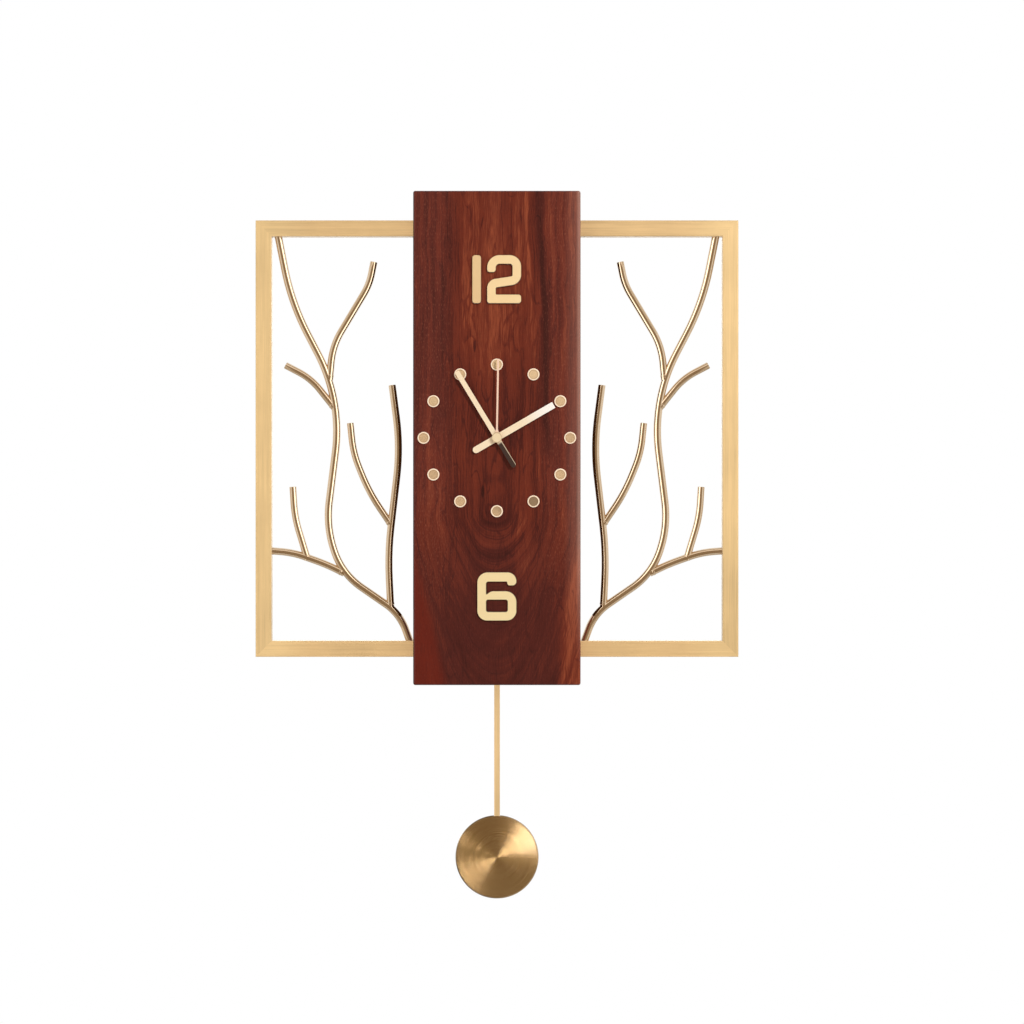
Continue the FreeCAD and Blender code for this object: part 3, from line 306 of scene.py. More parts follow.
class Finish(Wiring):
    """One material and the shader nodes that paint it."""

    def __init__(self, name):
        self.material = bpy.data.materials.new(name)
        super().__init__(self.material)

    def shine(self, **sockets):
        """Ends the material: feeds a surface's sockets, such as Base_Color or Roughness."""
        named = {name.replace("_", " "): value for name, value in sockets.items()}
        surface = self.node("ShaderNodeBsdfPrincipled", None, named, out="BSDF")
        self.node("ShaderNodeOutputMaterial", None, {"Surface": surface}, out=None)
        return self.material

    def place(self, centre=(0.0, 0.0, 0.0)):
        """Across, depth and height on the piece, in millimetres from a centre."""
        spot = self.node("ShaderNodeTexCoord", out="Object")
        moved = self.node("ShaderNodeVectorMath", {"operation": "SUBTRACT"},
                          {0: spot, 1: centre})
        scaled = self.node("ShaderNodeVectorMath", {"operation": "SCALE"},
                           {0: moved, "Scale": 1 / MM})
        return self.node("ShaderNodeSeparateXYZ", sockets={0: scaled}, out=("X", "Y", "Z"))

    def vector(self, across, depth, height):
        return self.node("ShaderNodeCombineXYZ", sockets={0: across, 1: depth, 2: height})

    def noise(self, spot, detail=2.0, roughness=0.5, distortion=0.0):
        """Soft noise, about one wave for each unit of the spot's three values."""
        return self.node("ShaderNodeTexNoise", None,
                         {"Vector": self.vector(*spot), "Scale": 1.0, "Detail": detail,
                          "Roughness": roughness, "Distortion": distortion})

    def grain(self, spot, waves, detail=2.0):
        """Noise that is alike in every direction, with so many waves in a millimetre."""
        return self.noise([way * waves for way in spot], detail)

    def fade(self, value, start, end):
        """Runs smoothly from 0, where the value is at start, to 1, where it is at end."""
        return self.stretch(value, start, end, kind="SMOOTHSTEP")

    def oval(self, across, height, middle, reach):
        """One inside an upright oval, fading to nothing at its edge."""
        far = (((across - middle[0]) / reach[0]) ** 2.0
               + ((height - middle[1]) / reach[1]) ** 2.0)
        return self.fade(far, 1.0, 0.1)

    def mix(self, share, first, second, blend="MIX"):
        return self.node("ShaderNodeMix", {"data_type": "RGBA", "blend_type": blend},
                         {0: share, 6: first, 7: second}, out=2)

    def layers(self, colour, *pairs):
        """Lays tints over a colour, one after the other, each by its own share."""
        for share, tint in pairs:
            colour = self.mix(share, colour, tint)
        return colour

    def scaled(self, colour, share):
        """A colour that nodes make, with its levels multiplied by a share."""
        return self.mix(1.0, colour, (share, share, share, 1.0), "MULTIPLY")

    def root(self, value):
        return self.calculate("SQRT", value)

    def ramp(self, value, *colours):
        """Blends evenly through the colours as the value runs from 0 to 1."""
        blended = colours[0]
        steps = len(colours) - 1
        for index in range(steps):
            share = self.fade(value, index / steps, (index + 1) / steps)
            blended = self.mix(share, blended, colours[index + 1])
        return blended

    def bump(self, height, millimetres, strength):
        return self.node("ShaderNodeBump", None,
                         {"Height": height, "Distance": millimetres * MM, "Strength": strength})


def dress(material, *names):
    """Puts a material on the frame's own nodes."""
    for name in names:
        nodes[name].data.materials[0] = material


def lacquered_wood(look):
    """Reddish wood, grain upright, with arches that open upwards below the dial.

    Every place below is in millimetres from the dial's centre.
    """
    paint = Finish("lacquered_wood")
    fade, noise, oval = paint.fade, paint.noise, paint.oval
    across, depth, height = paint.place(dial_centre)
    inward = depth - board_low.y / MM

    # Growth rings: upright lines that wander, and arches where the cut leaves the heart.
    wander = noise((across / 30, inward / 30, height / 80))
    ripple = noise((across / 11, inward / 20, height / 26), detail=1.0)
    sway = wander - 0.5
    shifted = across + 0.7 + sway * 13 + (ripple - 0.5) * 3.0
    below = paint.larger(-look.arch_top / MM - height, 0.0)
    heart = look.arch_depth / MM + inward * 0.6
    arch = paint.root(below ** 2.0 + 60.0) - 7.75
    ring = paint.root(shifted ** 2.0 + heart ** 2.0 + arch * 34)
    turns = ring / (look.ring_gap / MM)

    # Grain, from wide bands down to specks.
    broad = noise((turns * 0.34, inward * 0.02, height / 260))
    bands = noise((turns * 1.15, inward * 0.05, height / 190), detail=3.0, roughness=0.6)
    fine = noise((turns * 5.0, inward * 0.3, height / 42), detail=3.0, roughness=0.65)
    fibre = noise(((across + (ripple - 0.5) * 3) * 1.05, inward * 1.05, height / 95),
                  detail=3.0, roughness=0.7)
    arcs = noise((turns * 2.6, inward * 0.1, height / 120))
    lines = noise((turns * 0.62 + 11, inward * 0.05, height / 330), roughness=0.7)
    line = fade(abs(lines - 0.5), 0.020, 0.002)
    specks = noise((across * 1.7, inward * 1.7, height * 0.10))
    figure = noise(((ring + across * 0.3) / 9.5, inward / 20, height / 115),
                   detail=3.0, roughness=0.55, distortion=0.4)
    curl = noise((shifted / 15, inward / 30, height / 90 + 7), distortion=0.8)
    vein = fade(abs(curl - 0.5), 0.022, 0.004) * fade(figure, 0.35, 0.55)

    # Zones and single marks of this board.
    side = fade(abs(across), 36, 60)
    upper = fade(height, -110, -40)
    arches = oval(across, height, (0, -104), (52, 58))
    orange = oval(across, height, (26, -110), (12, 42))
    arch_dark = oval(across, height, (0, -97), (36, 30))
    flecks = (oval(across, height, (-22, 91), (2.0, 7.5))
              + oval(across, height, (-14, -53), (2.0, 8.0)))
    from_streak = across - (52 - height * 0.0424)
    right_streak = fade(abs(from_streak + sway * 9), 5.0, 0.3) * fade(height, -45, 10)
    left_streak = fade(abs(across + 49 + sway * 10), 11, 2) * fade(height, 60, 150)
    light_line = fade(abs(from_streak + 12.6 + sway * 6), 2.6, 0.3) * fade(height, 10, 80)
    edge_start = 79 + (height + 32) * 0.084
    right_edge = fade(across - edge_start, -5, 6) * fade(height, -60, -150)
    low_middle = fade(height, -120, -175) * fade(abs(across), 72, 40)
    top_middle = fade(height, 20, 120) * fade(abs(across), 52, 26)
    right_top = paint.stretch(from_streak, 3, 24) * fade(height, -70, 60)
    low_left = fade(across + 83 + (height + 111) * 0.248 + sway * 8, 6, -7)

    tone = (0.5 + (bands - 0.5) * (0.60 + arches * 0.30) + (broad - 0.5) * 0.70
            + (arcs - 0.5) * arches * 0.75 + (fine - 0.5) * 0.50 + (fibre - 0.5) * 0.52
            + (specks - 0.5) * 0.46 + (figure - 0.5) * 0.76 - vein * 0.20 - line * 0.14
            + ((bands - 0.5) + (fibre - 0.5)) * 0.60 * side * fade(height, -90, 10)
            + light_line * 0.16 + top_middle * 0.18 + right_edge * 0.38 + orange * 0.20
            - right_streak * 0.44 + right_top * 0.24 - left_streak * 0.15
            - low_middle * 0.22 - arch_dark * 0.07 - flecks * 0.45)

    # Open pores, painted glints in the lacquer, painted shade and sheen at the board's edges.
    pores = noise((across * 2.3, inward * 2.3, height * 0.055), detail=1.0)
    pore = fade(pores, 0.58, 0.70)
    # Painted glints of reflected light, denser in the sheen at the sides.
    glints = noise((across * 2.0 + 90, inward * 2.0, height * 0.27), detail=1.0)
    sheen = side * fade(height, -190, -110) * (1 - low_left)
    # Painted shade: the left, top and bottom rounded edges darken at the front corner.
    rim = paint.larger(fade(-across, 81.6, 82.6), fade(abs(height), 244.0, 244.8))
    front_corner = fade(inward, 4.5, 1.5)
    # Painted sheen of light on the rounded right edge, at its front corner only.
    edge_sheen = ((fade(across, 64, 80) * 0.10 + fade(across, 78, 81.5) * 0.27)
                 * fade(height, -240, -90))
    plain = 1 - right_edge
    colour = paint.layers(
        paint.ramp(tone, look.darkest, look.dark, look.middle, look.light),
        (side * upper * 0.30 * plain, look.purple),
        (fade(height, -70, -130) * plain * 0.34, look.deep),
        (low_left * 0.72, look.red),
        (pore * 0.42, look.darkest),
        (fade(glints, 0.56, 0.76) * (0.10 + sheen * 0.34), look.glint),
        (rim * front_corner * 0.75, look.darkest),
        (edge_sheen * front_corner, look.painted_sheen))
    return paint.shine(Base_Color=colour, Roughness=look.gloss + (bands - 0.5) * 0.12,
                       Specular_IOR_Level=0.22,
                       Normal=paint.bump(fine * 0.5 - pore, 0.03, 0.4))


def brushed_gold(name, colour, upright, middle, half, corner_colour=None, metallic=0.30):
    """Pale gold brushed along a bar, with soft blotches and a painted highlight on its side
    faces.

    The bar's own middle line lies the given distance from the dial's centre, on both sides.
    """
    paint = Finish(name)
    across, depth, height = paint.place(dial_centre)
    if upright:
        line_spot = (across * 1.6, depth * 1.6, height / 60)
        band_spot = (across / 4.2, depth / 9, height / 210)
        from_middle = abs(abs(across) - middle / MM)
        drift = paint.fade(abs(height), 170, 60) * 0.16 - paint.fade(height, -60, -180) * 0.14
    else:
        line_spot = (across / 60, depth * 1.6, height * 1.6)
        band_spot = (across / 210, depth / 9, height / 4.2)
        from_middle = abs(abs(height) - middle / MM)
        drift = paint.stretch(height, 218, -218, -0.08, 0.20)
    lines = paint.noise(line_spot, detail=3.0, roughness=0.6)
    bands = paint.noise(band_spot, detail=1.0)
    blotch = paint.noise((across / 55, depth / 30, height / 55))
    tone = 0.5 + (lines - 0.5) * 1.6 + (bands - 0.5) * 1.1 + (blotch - 0.5) * 1.2 + drift
    if corner_colour is not None:
        colour = paint.mix(paint.fade(abs(across), 180, 224), colour, corner_colour)
    gold = paint.ramp(tone, paint.scaled(colour, 0.84), colour, paint.scaled(colour, 1.12))
    # Painted highlight: the bar's side faces turn towards near white where light catches them.
    edge = half / MM
    gold = paint.mix(paint.fade(from_middle, edge - 0.12, edge - 0.02) * 0.5, gold,
                     screen_colour(252, 242, 226))
    return paint.shine(Base_Color=gold, Metallic=metallic,
                       Roughness=0.42 + (lines - 0.5) * 0.16,
                       Normal=paint.bump(lines, 0.02, 0.35))


def satin_metal(name, colour, roughness):
    """Plain metal with a fine even grain and soft clouds."""
    paint = Finish(name)
    spot = paint.place()
    grit = paint.grain(spot, 1.4, 3.0)
    cloud = paint.grain(spot, 1 / 14)
    tone = 0.5 + (grit - 0.5) * 0.5 + (cloud - 0.5) * 0.6
    return paint.shine(Base_Color=paint.mix(tone, darker(colour, 0.86), colour), Metallic=1.0,
                       Roughness=roughness + (grit - 0.5) * 0.12,
                       Normal=paint.bump(grit, 0.01, 0.4))


def polished_rod(look, name="polished_brass", roughness=0.13):
    """Polished brass with faint draw marks and a slightly deeper tone in places."""
    paint = Finish(name)
    across, depth, height = paint.place()
    marks = paint.noise((across * 0.5, depth * 0.9, height * 0.22), detail=3.0)
    cloud = paint.noise((across / 22, depth / 9, height / 30))
    tone = 0.5 + (cloud - 0.5) * 1.1 + (marks - 0.5) * 0.3
    deep = darker(look.rod_gold, 0.86, 0.80, 0.72)
    return paint.shine(Base_Color=paint.mix(tone, deep, look.rod_gold), Metallic=1.0,
                       Roughness=roughness + (marks - 0.5) * 0.06)


def spun_metal(look):
    """The bob, turned on a lathe: fine rings tip the light outwards and inwards. A painted
    highlight pales the right side towards the rim, and painted shade darkens the rolled edge on
    the left.
    """
    tip_share = 3.2
    rings_per_mm = 13.0
    dome = 0.004
    paint = Finish("spun_brass")
    across, _depth, height = paint.place(bob_centre)
    radius = paint.larger(paint.root(across ** 2.0 + height ** 2.0), 0.001)
    tips = paint.node("ShaderNodeTexNoise", {"noise_dimensions": "1D"},
                      {"W": radius * rings_per_mm, "Scale": 1.0, "Detail": 2.0,
                       "Roughness": 0.7})
    tilt = (tips - 0.5) * tip_share + radius * dome
    outward = paint.vector(across / radius * tilt, 0.0, height / radius * tilt)
    turned = paint.node("ShaderNodeVectorTransform",
                        {"vector_type": "VECTOR", "convert_from": "OBJECT",
                         "convert_to": "WORLD"}, {0: outward})
    plain = paint.node("ShaderNodeNewGeometry", out="Normal")
    added = paint.node("ShaderNodeVectorMath", {"operation": "ADD"}, {0: plain, 1: turned})
    normal = paint.node("ShaderNodeVectorMath", {"operation": "NORMALIZE"}, {0: added})
    rings = paint.noise((radius * 0.9, 0.0, 0.0), detail=3.0)
    # Painted highlight: the right side pales towards the rim, where the light's streak runs.
    painted_sheen = paint.fade(across, 4, 38) * paint.fade(height, -3, 7)
    # Painted shade on the rolled edge at the left.
    rim_shade = paint.fade(radius, 39.6, 41.3) * paint.fade(across, 22, -14)
    brass = paint.layers(darker(look.bob_gold, 0.84), (rings, look.bob_gold),
                         (painted_sheen * 0.12, screen_colour(236, 222, 196)),
                         (rim_shade * 0.70, screen_colour(84, 58, 30)))
    return paint.shine(Base_Color=brass, Metallic=1.0, Roughness=0.24 + (rings - 0.5) * 0.06,
                       Normal=normal)


def hand_metal(look, name, is_minute):
    """Pale satin brass, with a painted highlight paling the hour hand's tip, and a painted dark
    reflection on the minute hand's tail with a painted highlight along one edge.
    """
    paint = Finish(name)
    across, depth, height = paint.place(dial_centre)
    grit = paint.grain((across, depth, height), 2.2)
    brass = paint.mix(0.35 + grit * 0.8, darker(look.hand_gold, 0.90), look.hand_gold)
    way = MINUTE_WAY if is_minute else HOUR_WAY
    along = across * way[0] + height * way[1]
    if is_minute:
        # The minute hand's tail gets a painted dark reflection, and a painted highlight along
        # one edge.
        beside = across * way[1] - height * way[0]
        edge_highlight = paint.fade(beside, 1.40, 1.75) * 0.72
        tail = paint.fade(along, -4.5, -7.5) * (1 - edge_highlight)
        colour = paint.mix(tail, brass, look.tail_reflection)
    else:
        # Painted highlight: the hour hand pales towards its tip.
        tip = paint.fade(along, 26, 60) * paint.fade(across, 8, 12)
        colour = paint.mix(tip, brass, screen_colour(255, 251, 244))
    return paint.shine(Base_Color=colour, Metallic=0.4, Roughness=0.36 + grit * 0.1)


def seconds_metal(look):
    """Pinkish needle with a cream cap over the arbor, and painted shade round the cap's edge.
    """
    paint = Finish("seconds_brass")
    across, depth, height = paint.place(dial_centre)
    grit = paint.grain((across, depth, height), 2.0)
    far_squared = across ** 2.0 + height ** 2.0
    cap = paint.fade(far_squared, 31.0, 28.0)
    # Painted shade: a darker ring round the cap's edge, standing in for its shadow.
    cap_edge_shade = paint.fade(far_squared, 15.0, 23.0) * cap
    colour = paint.layers(look.seconds_gold, (cap, look.cap_gold),
                          (cap_edge_shade * 0.5, screen_colour(176, 136, 92)))
    return paint.shine(Base_Color=paint.mix(0.3 + grit, paint.scaled(colour, 0.84), colour),
                       Metallic=0.35, Roughness=0.34 + grit * 0.1)


def numeral_metal(look):
    """Satin brass, deeper on the first stroke of the 12, with a painted shadow outline round
    the broken edge.
    """
    paint = Finish("numeral_brass")
    across, depth, height = paint.place(dial_centre)
    grit = paint.grain((across, depth, height), 1.8, 3.0)
    cloud = paint.grain((across, depth, height), 1 / 14)
    first_stroke = paint.fade(across, -12, -15) * paint.fade(height, 0, 10)
    deepness = 0.05 + first_stroke * 0.95 + (grit - 0.5) * 0.5 + (cloud - 0.5) * 0.5
    # Painted shadow: the broken edge and side faces turn dark, as an outline.
    edge = paint.fade(depth - numeral_front / MM, 0.03, 0.16)
    gold = paint.layers(look.numeral_gold,
                        (paint.fade(height, 20, -20), screen_colour(246, 223, 170)),
                        (deepness, darker(look.numeral_gold, 0.86, 0.80, 0.76)),
                        (edge * 0.85, screen_colour(66, 44, 24)))
    return paint.shine(Base_Color=gold, Metallic=0.35, Roughness=0.42 + (grit - 0.5) * 0.12,
                       Normal=paint.bump(grit, 0.01, 0.4))


def stud_finish(look):
    """Fine matt face inside a bright rim, told apart by the stud's own radius."""
    paint = Finish("stud_brass")
    across, depth, height = paint.place(dial_centre)
    radial = paint.node("ShaderNodeAttribute", {"attribute_name": "from_middle"}, out="Fac")
    grit = paint.noise((across * 1.1, depth, height * 1.1), detail=4.0, roughness=0.75)
    cloud = paint.grain((across, depth, height), 1 / 30, 1.0)
    right_low = paint.oval(across, height, (38, -66), (48, 26))
    face = paint.layers(
        darker(look.stud_gold, 0.55), ((grit - 0.5) * 3.6 + 0.66, look.stud_gold),
        (paint.fade(cloud, 0.35, 0.65) * 0.25, screen_colour(168, 138, 104)),
        (paint.fade(height, -10, 60) * 0.30, screen_colour(244, 216, 170)),
        # Painted shade: the outer face darkens next to the raised rim.
        (paint.fade(radial, 0.58, 0.74) * 0.45, screen_colour(150, 112, 76)),
        (right_low * 0.62, screen_colour(92, 68, 46)))
    rim = paint.fade(radial, 0.76, 0.80)
    return paint.shine(Base_Color=paint.mix(rim, face, look.stud_rim),
                       Metallic=0.5 - rim * 0.3, Roughness=0.5 - rim * 0.15,
                       Normal=paint.bump(grit * (1 - rim), 0.05, 0.5))


def matt_plastic(name, colour, roughness=0.55, texture=2.5):
    """Moulded plastic with a fine pebbled surface."""
    paint = Finish(name)
    pebble = paint.grain(paint.place(), texture)
    return paint.shine(Base_Color=paint.mix(pebble, darker(colour, 0.82), colour),
                       Roughness=roughness + (pebble - 0.5) * 0.15,
                       Normal=paint.bump(pebble, 0.03, 0.4))


def wound_wire():
    """Enamelled wire wound in close turns."""
    paint = Finish("copper_wire")
    copper = screen_colour(190, 104, 60)
    across, _depth, _height = paint.place()
    turns = paint.calculate("SINE", across * 24)
    shade = paint.stretch(turns, -1.0, 1.0, 0.55, 1.0)
    return paint.shine(Base_Color=paint.mix(shade, darker(copper, 0.35), copper),
                       Metallic=0.8, Roughness=0.3 + (1 - shade) * 0.4,
                       Normal=paint.bump(turns, 0.05, 0.6))


def battery_wrap():
    """A plain wrapped cell: dark body, brass-toned end band and bare metal ends."""
    paint = Finish("battery_wrap")
    across, depth, height = paint.place()
    grit = paint.grain((across, depth, height), 0.7)
    ends = paint.larger(paint.fade(across, 24.4, 24.7), paint.fade(across, -23.7, -24.0))
    colour = paint.layers(screen_colour(52, 56, 62), (grit, screen_colour(70, 74, 80)),
                          (paint.fade(across, 9.0, 9.3), screen_colour(196, 150, 84)),
                          (ends, screen_colour(200, 200, 204)))
    return paint.shine(Base_Color=colour, Metallic=0.35 + ends * 0.65,
                       Roughness=0.32 + grit * 0.1)


def solder_mask():
    """Green board with pale traces."""
    paint = Finish("circuit_lacquer")
    cells = paint.node("ShaderNodeTexVoronoi", {"feature": "DISTANCE_TO_EDGE"},
                       {"Vector": paint.vector(*paint.place()), "Scale": 0.55})
    colour = paint.mix(paint.fade(cells, 0.10, 0.05), screen_colour(24, 92, 52),
                       screen_colour(78, 150, 92))
    return paint.shine(Base_Color=colour, Roughness=0.35)


def start_clean():
    """Leaves edit mode and deselects everything."""
    if bpy.context.object and bpy.context.object.mode != "OBJECT":
        bpy.ops.object.mode_set(mode="OBJECT")
    bpy.ops.object.select_all(action="DESELECT")


def pick(piece, kind, wanted):
    """Selects the edges or faces whose corners all pass a test, and goes to edit mode."""
    bpy.ops.object.mode_set(mode="EDIT")
    bpy.ops.mesh.select_mode(type=kind)
    bpy.ops.mesh.select_all(action="DESELECT")
    bpy.ops.object.mode_set(mode="OBJECT")
    mesh = piece.data
    found = 0
    for part in mesh.edges if kind == "EDGE" else mesh.polygons:
        part.select = all(wanted(mesh.vertices[index].co) for index in part.vertices)
        found += part.select
    if not found:
        raise RuntimeError(f"{piece.name}: no {kind.lower()} to shape")
    bpy.ops.object.mode_set(mode="EDIT")


def copy_piece(context, piece, name):
    """Copies a finished shape, with a mesh of its own."""
    copy = piece.copy()
    copy.data = piece.data.copy()
    copy.name = name
    context.collection.objects.link(copy)
    return copy


def settle(piece, body, material):
    """Applies the piece's place, shades it and hands it to the frame."""
    start_clean()
    piece.select_set(True)
    bpy.context.view_layer.objects.active = piece
    bpy.ops.object.transform_apply(location=True, rotation=True, scale=True)
    bpy.ops.object.shade_smooth_by_angle(angle=SMOOTH_BELOW)
    piece.data.materials.clear()
    piece.data.materials.append(material)
    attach(piece, body)


class CLOCK_OT_finish_board(bpy.types.Operator):
    """Paint the wooden board with its grain, pores and lacquer"""

    bl_idname = "clock.finish_board"
    bl_label = "Finish board"

    def execute(self, context):
        dress(lacquered_wood(context.scene.clock_board), "wood_panel")
        return {"FINISHED"}


class CLOCK_OT_finish_frame(bpy.types.Operator):
    """Brush the six bars of the frame along their length"""

    bl_idname = "clock.finish_frame"
    bl_label = "Finish frame"

    def execute(self, context):
        look = context.scene.clock_metal
        half = (stile_high.x - stile_low.x) / 2
        dress(brushed_gold("brushed_gold_upright", look.frame_gold, True,
                           -stile_low.x - half, half), "left_stile", "right_stile")
        dress(brushed_gold("brushed_gold_level", look.rail_gold, False,
                           stile_high.z - dial_height - half, half, look.frame_gold),
              "left_top_rail", "right_top_rail", "left_bottom_rail", "right_bottom_rail")
        return {"FINISHED"}


class CLOCK_OT_finish_rods(bpy.types.Operator):
    """Bend the fourteen branch rods and polish them"""

    bl_idname = "clock.finish_rods"
    bl_label = "Make branch rods"

    def execute(self, context):
        sizes = context.scene.clock_rods
        material = polished_rod(context.scene.clock_metal)
        for side, way in sides.items():
            for name, (kind, first_end, last_end, shares) in rods.items():
                points = [window_point(way, across, down) for across, down in shares]
                rod = self.bend_rod(context, points, getattr(sizes, kind) / 2, sizes)
                rod.name = f"{side}_{name}_rod"
                for end in (first_end, last_end):
                    self.cut_flush(end, way)
                settle(rod, "clock", material)
                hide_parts(f"{side}_{name}")
        return {"FINISHED"}

    def bend_rod(self, context, points, radius, sizes):
        """Draws a ring along straight runs and spins it round each bend."""
        heading = (points[1] - points[0]).normalized()
        start_clean()
        bpy.ops.mesh.primitive_circle_add(
            vertices=sizes.sides, radius=radius, fill_type="NOTHING", location=points[0],
            rotation=heading.to_track_quat("Z", "Y").to_euler())
        rod = context.object
        bpy.ops.object.transform_apply(location=True, rotation=True, scale=True)
        bpy.ops.object.mode_set(mode="EDIT")
        bpy.ops.mesh.select_mode(type="EDGE")
        bpy.ops.mesh.select_all(action="SELECT")
        place = points[0]
        for before, corner, after in zip(points, points[1:], points[2:]):
            back = (before - corner).normalized()
            ahead = (after - corner).normalized()
            reach = min((before - corner).length, (after - corner).length) * sizes.bend
            half_turn = (math.pi - back.angle(ahead)) / 2
            bend_start = corner + back * reach
            centre = corner + (back + ahead).normalized() * (
                reach / math.tan(half_turn) / math.cos(half_turn))
            way = 1 if back.cross(ahead).y > 0 else -1
            bpy.ops.mesh.extrude_edges_move(
                TRANSFORM_OT_translate={"value": bend_start - place})
            bpy.ops.mesh.spin(steps=max(3, math.ceil(math.degrees(half_turn))),
                              angle=2 * half_turn * way, center=centre, axis=(0, 1, 0))
            place = corner + ahead * reach
        bpy.ops.mesh.extrude_edges_move(TRANSFORM_OT_translate={"value": points[-1] - place})
        bpy.ops.mesh.edge_face_add()
        tip = points[0]
        pick(rod, "EDGE", lambda point: (point - tip).length < radius * 1.01)
        bpy.ops.mesh.edge_face_add()
        bpy.ops.mesh.bevel(offset=sizes.tip, segments=2, affect="EDGES")
        bpy.ops.mesh.select_all(action="SELECT")
        bpy.ops.mesh.normals_make_consistent(inside=False)
        return rod

    def cut_flush(self, end, way):
        """Trims a rod where it meets the frame's inner face."""
        planes = {"top": ((0, 0, window_top), (0, 0, 1)),
                  "bottom": ((0, 0, window_bottom), (0, 0, -1)),
                  "side": ((way * window_left, 0, 0), (-way, 0, 0))}
        if end in planes:
            place, outward = planes[end]
            bpy.ops.mesh.select_all(action="SELECT")
            bpy.ops.mesh.bisect(plane_co=place, plane_no=outward, use_fill=True,
                                clear_outer=True)


class CLOCK_OT_weld_rods(bpy.types.Operator):
    """Run a small weld bead round each rod where it meets another"""

    bl_idname = "clock.weld_rods"
    bl_label = "Weld rods"

    def execute(self, context):
        sizes = context.scene.clock_rods
        material = polished_rod(context.scene.clock_metal, "weld_brass", 0.30)
        start_clean()
        bpy.ops.mesh.primitive_uv_sphere_add(segments=24, ring_count=14, radius=1.0)
        first = context.object
        first.name = "weld_pattern"
        for side, way in sides.items():
            for name, (kind, _first_end, last_end, shares) in rods.items():
                if last_end != "joint":
                    continue
                before, end = (window_point(way, *share) for share in shares[-2:])
                radius = getattr(sizes, kind) / 2
                bead = copy_piece(context, first, f"{side}_{name}_weld_rod")
                bead.location = end - (end - before).normalized() * radius * sizes.weld_back
                bead.rotation_euler = (end - before).to_track_quat("Z", "Y").to_euler()
                wide = radius * sizes.weld_width
                bead.scale = (wide, wide, radius * sizes.weld_length)
                settle(bead, "clock", material)
        start_clean()
        first.select_set(True)
        bpy.ops.object.delete()
        return {"FINISHED"}


class CLOCK_OT_make_studs(bpy.types.Operator):
    """Model one rimmed hour stud and copy it round the dial"""

    bl_idname = "clock.make_studs"
    bl_label = "Make hour studs"

    def execute(self, context):
        sizes = context.scene.clock_studs
        ring = (dial_high.z - dial_low.z) / 2 - sizes.radius
        front = dial_low.y
        back = dial_high.y
        material = stud_finish(context.scene.clock_metal)
        start_clean()
        bpy.ops.mesh.primitive_cylinder_add(
            vertices=48, radius=sizes.radius, depth=back - front,
            location=(0.0, (front + back) / 2, 0.0), rotation=UPRIGHT)
        stud = context.object
        stud.name = "hour_stud_01"
        bpy.ops.object.transform_apply(location=True, rotation=True, scale=True)
        pick(stud, "EDGE", lambda point: point.y < front + sizes.edge)
        bpy.ops.mesh.bevel(offset=sizes.edge, segments=3, affect="EDGES")
        pick(stud, "FACE", lambda point: point.y < front + sizes.edge / 50)
        bpy.ops.mesh.inset(thickness=sizes.rim - sizes.edge)
        bpy.ops.mesh.inset(thickness=sizes.drop / 2)
        bpy.ops.transform.translate(value=(0.0, sizes.drop, 0.0))
        bpy.ops.mesh.inset(thickness=sizes.radius / 3)
        bpy.ops.object.mode_set(mode="OBJECT")
        marks = stud.data.attributes.new("from_middle", "FLOAT", "POINT")
        for point, mark in zip(stud.data.vertices, marks.data):
            mark.value = math.hypot(point.co.x, point.co.z) / sizes.radius
        studs = [stud] + [copy_piece(context, stud, f"hour_stud_{index + 1:02d}")
                          for index in range(1, sizes.count)]
        for index, copy in enumerate(studs):
            angle = index * math.tau / sizes.count
            copy.location = (ring * math.sin(angle), 0.0, dial_height + ring * math.cos(angle))
            settle(copy, "clock", material)
        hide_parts("hour_markers")
        return {"FINISHED"}


class CLOCK_OT_finish_dial(bpy.types.Operator):
    """Finish the raised numbers and the three hands"""

    bl_idname = "clock.finish_dial"
    bl_label = "Finish numbers and hands"

    def execute(self, context):
        look = context.scene.clock_metal
        dress(numeral_metal(look), "numeral_twelve", "numeral_six")
        dress(hand_metal(look, "hand_brass", False), "hour_hand")
        dress(hand_metal(look, "minute_brass", True), "minute_hand")
        dress(seconds_metal(look), "seconds_hand")
        return {"FINISHED"}


class CLOCK_OT_finish_pendulum(bpy.types.Operator):
    """Finish the pendulum's rod and its spun bob"""

    bl_idname = "clock.finish_pendulum"
    bl_label = "Finish pendulum"

    def execute(self, context):
        look = context.scene.clock_metal
        half = (rod_high.x - rod_low.x) / 2
        dress(brushed_gold("pendulum_gold", look.pendulum_gold, True, 0.0, half,
                           metallic=0.25), "pendulum_rod")
        dress(spun_metal(look), "pendulum_bob")
        return {"FINISHED"}


class CLOCK_OT_finish_movement(bpy.types.Operator):
    """Finish the movement's case, wheels, coils, battery and drive"""

    bl_idname = "clock.finish_movement"
    bl_label = "Finish movement"

    def execute(self, context):
        dress(matt_plastic("case_plastic_black", screen_colour(40, 40, 42)),
              "movement_case", "movement_cover", "pendulum_arm")
        dress(matt_plastic("bridge_plastic_natural", screen_colour(222, 222, 218)),
              "gear_bridge")
        dress(matt_plastic("gear_plastic_natural", screen_colour(240, 238, 230), 0.4),
              "intermediate_wheel", "seconds_wheel", "third_wheel", "centre_wheel",
              "motion_wheel", "hour_wheel", "setting_knob")
        dress(satin_metal("turned_brass", screen_colour(212, 176, 104), 0.28),
              "mounting_bush", "bush_nut", "bush_washer", "pendulum_pivot")
        dress(battery_wrap(), "battery")
        dress(wound_wire(), "motor_coil", "pendulum_coil")
        dress(satin_metal("magnet_grey_metal", screen_colour(110, 110, 114), 0.45), "rotor",
              "arm_magnet")
        dress(solder_mask(), "circuit_board")
        return {"FINISHED"}


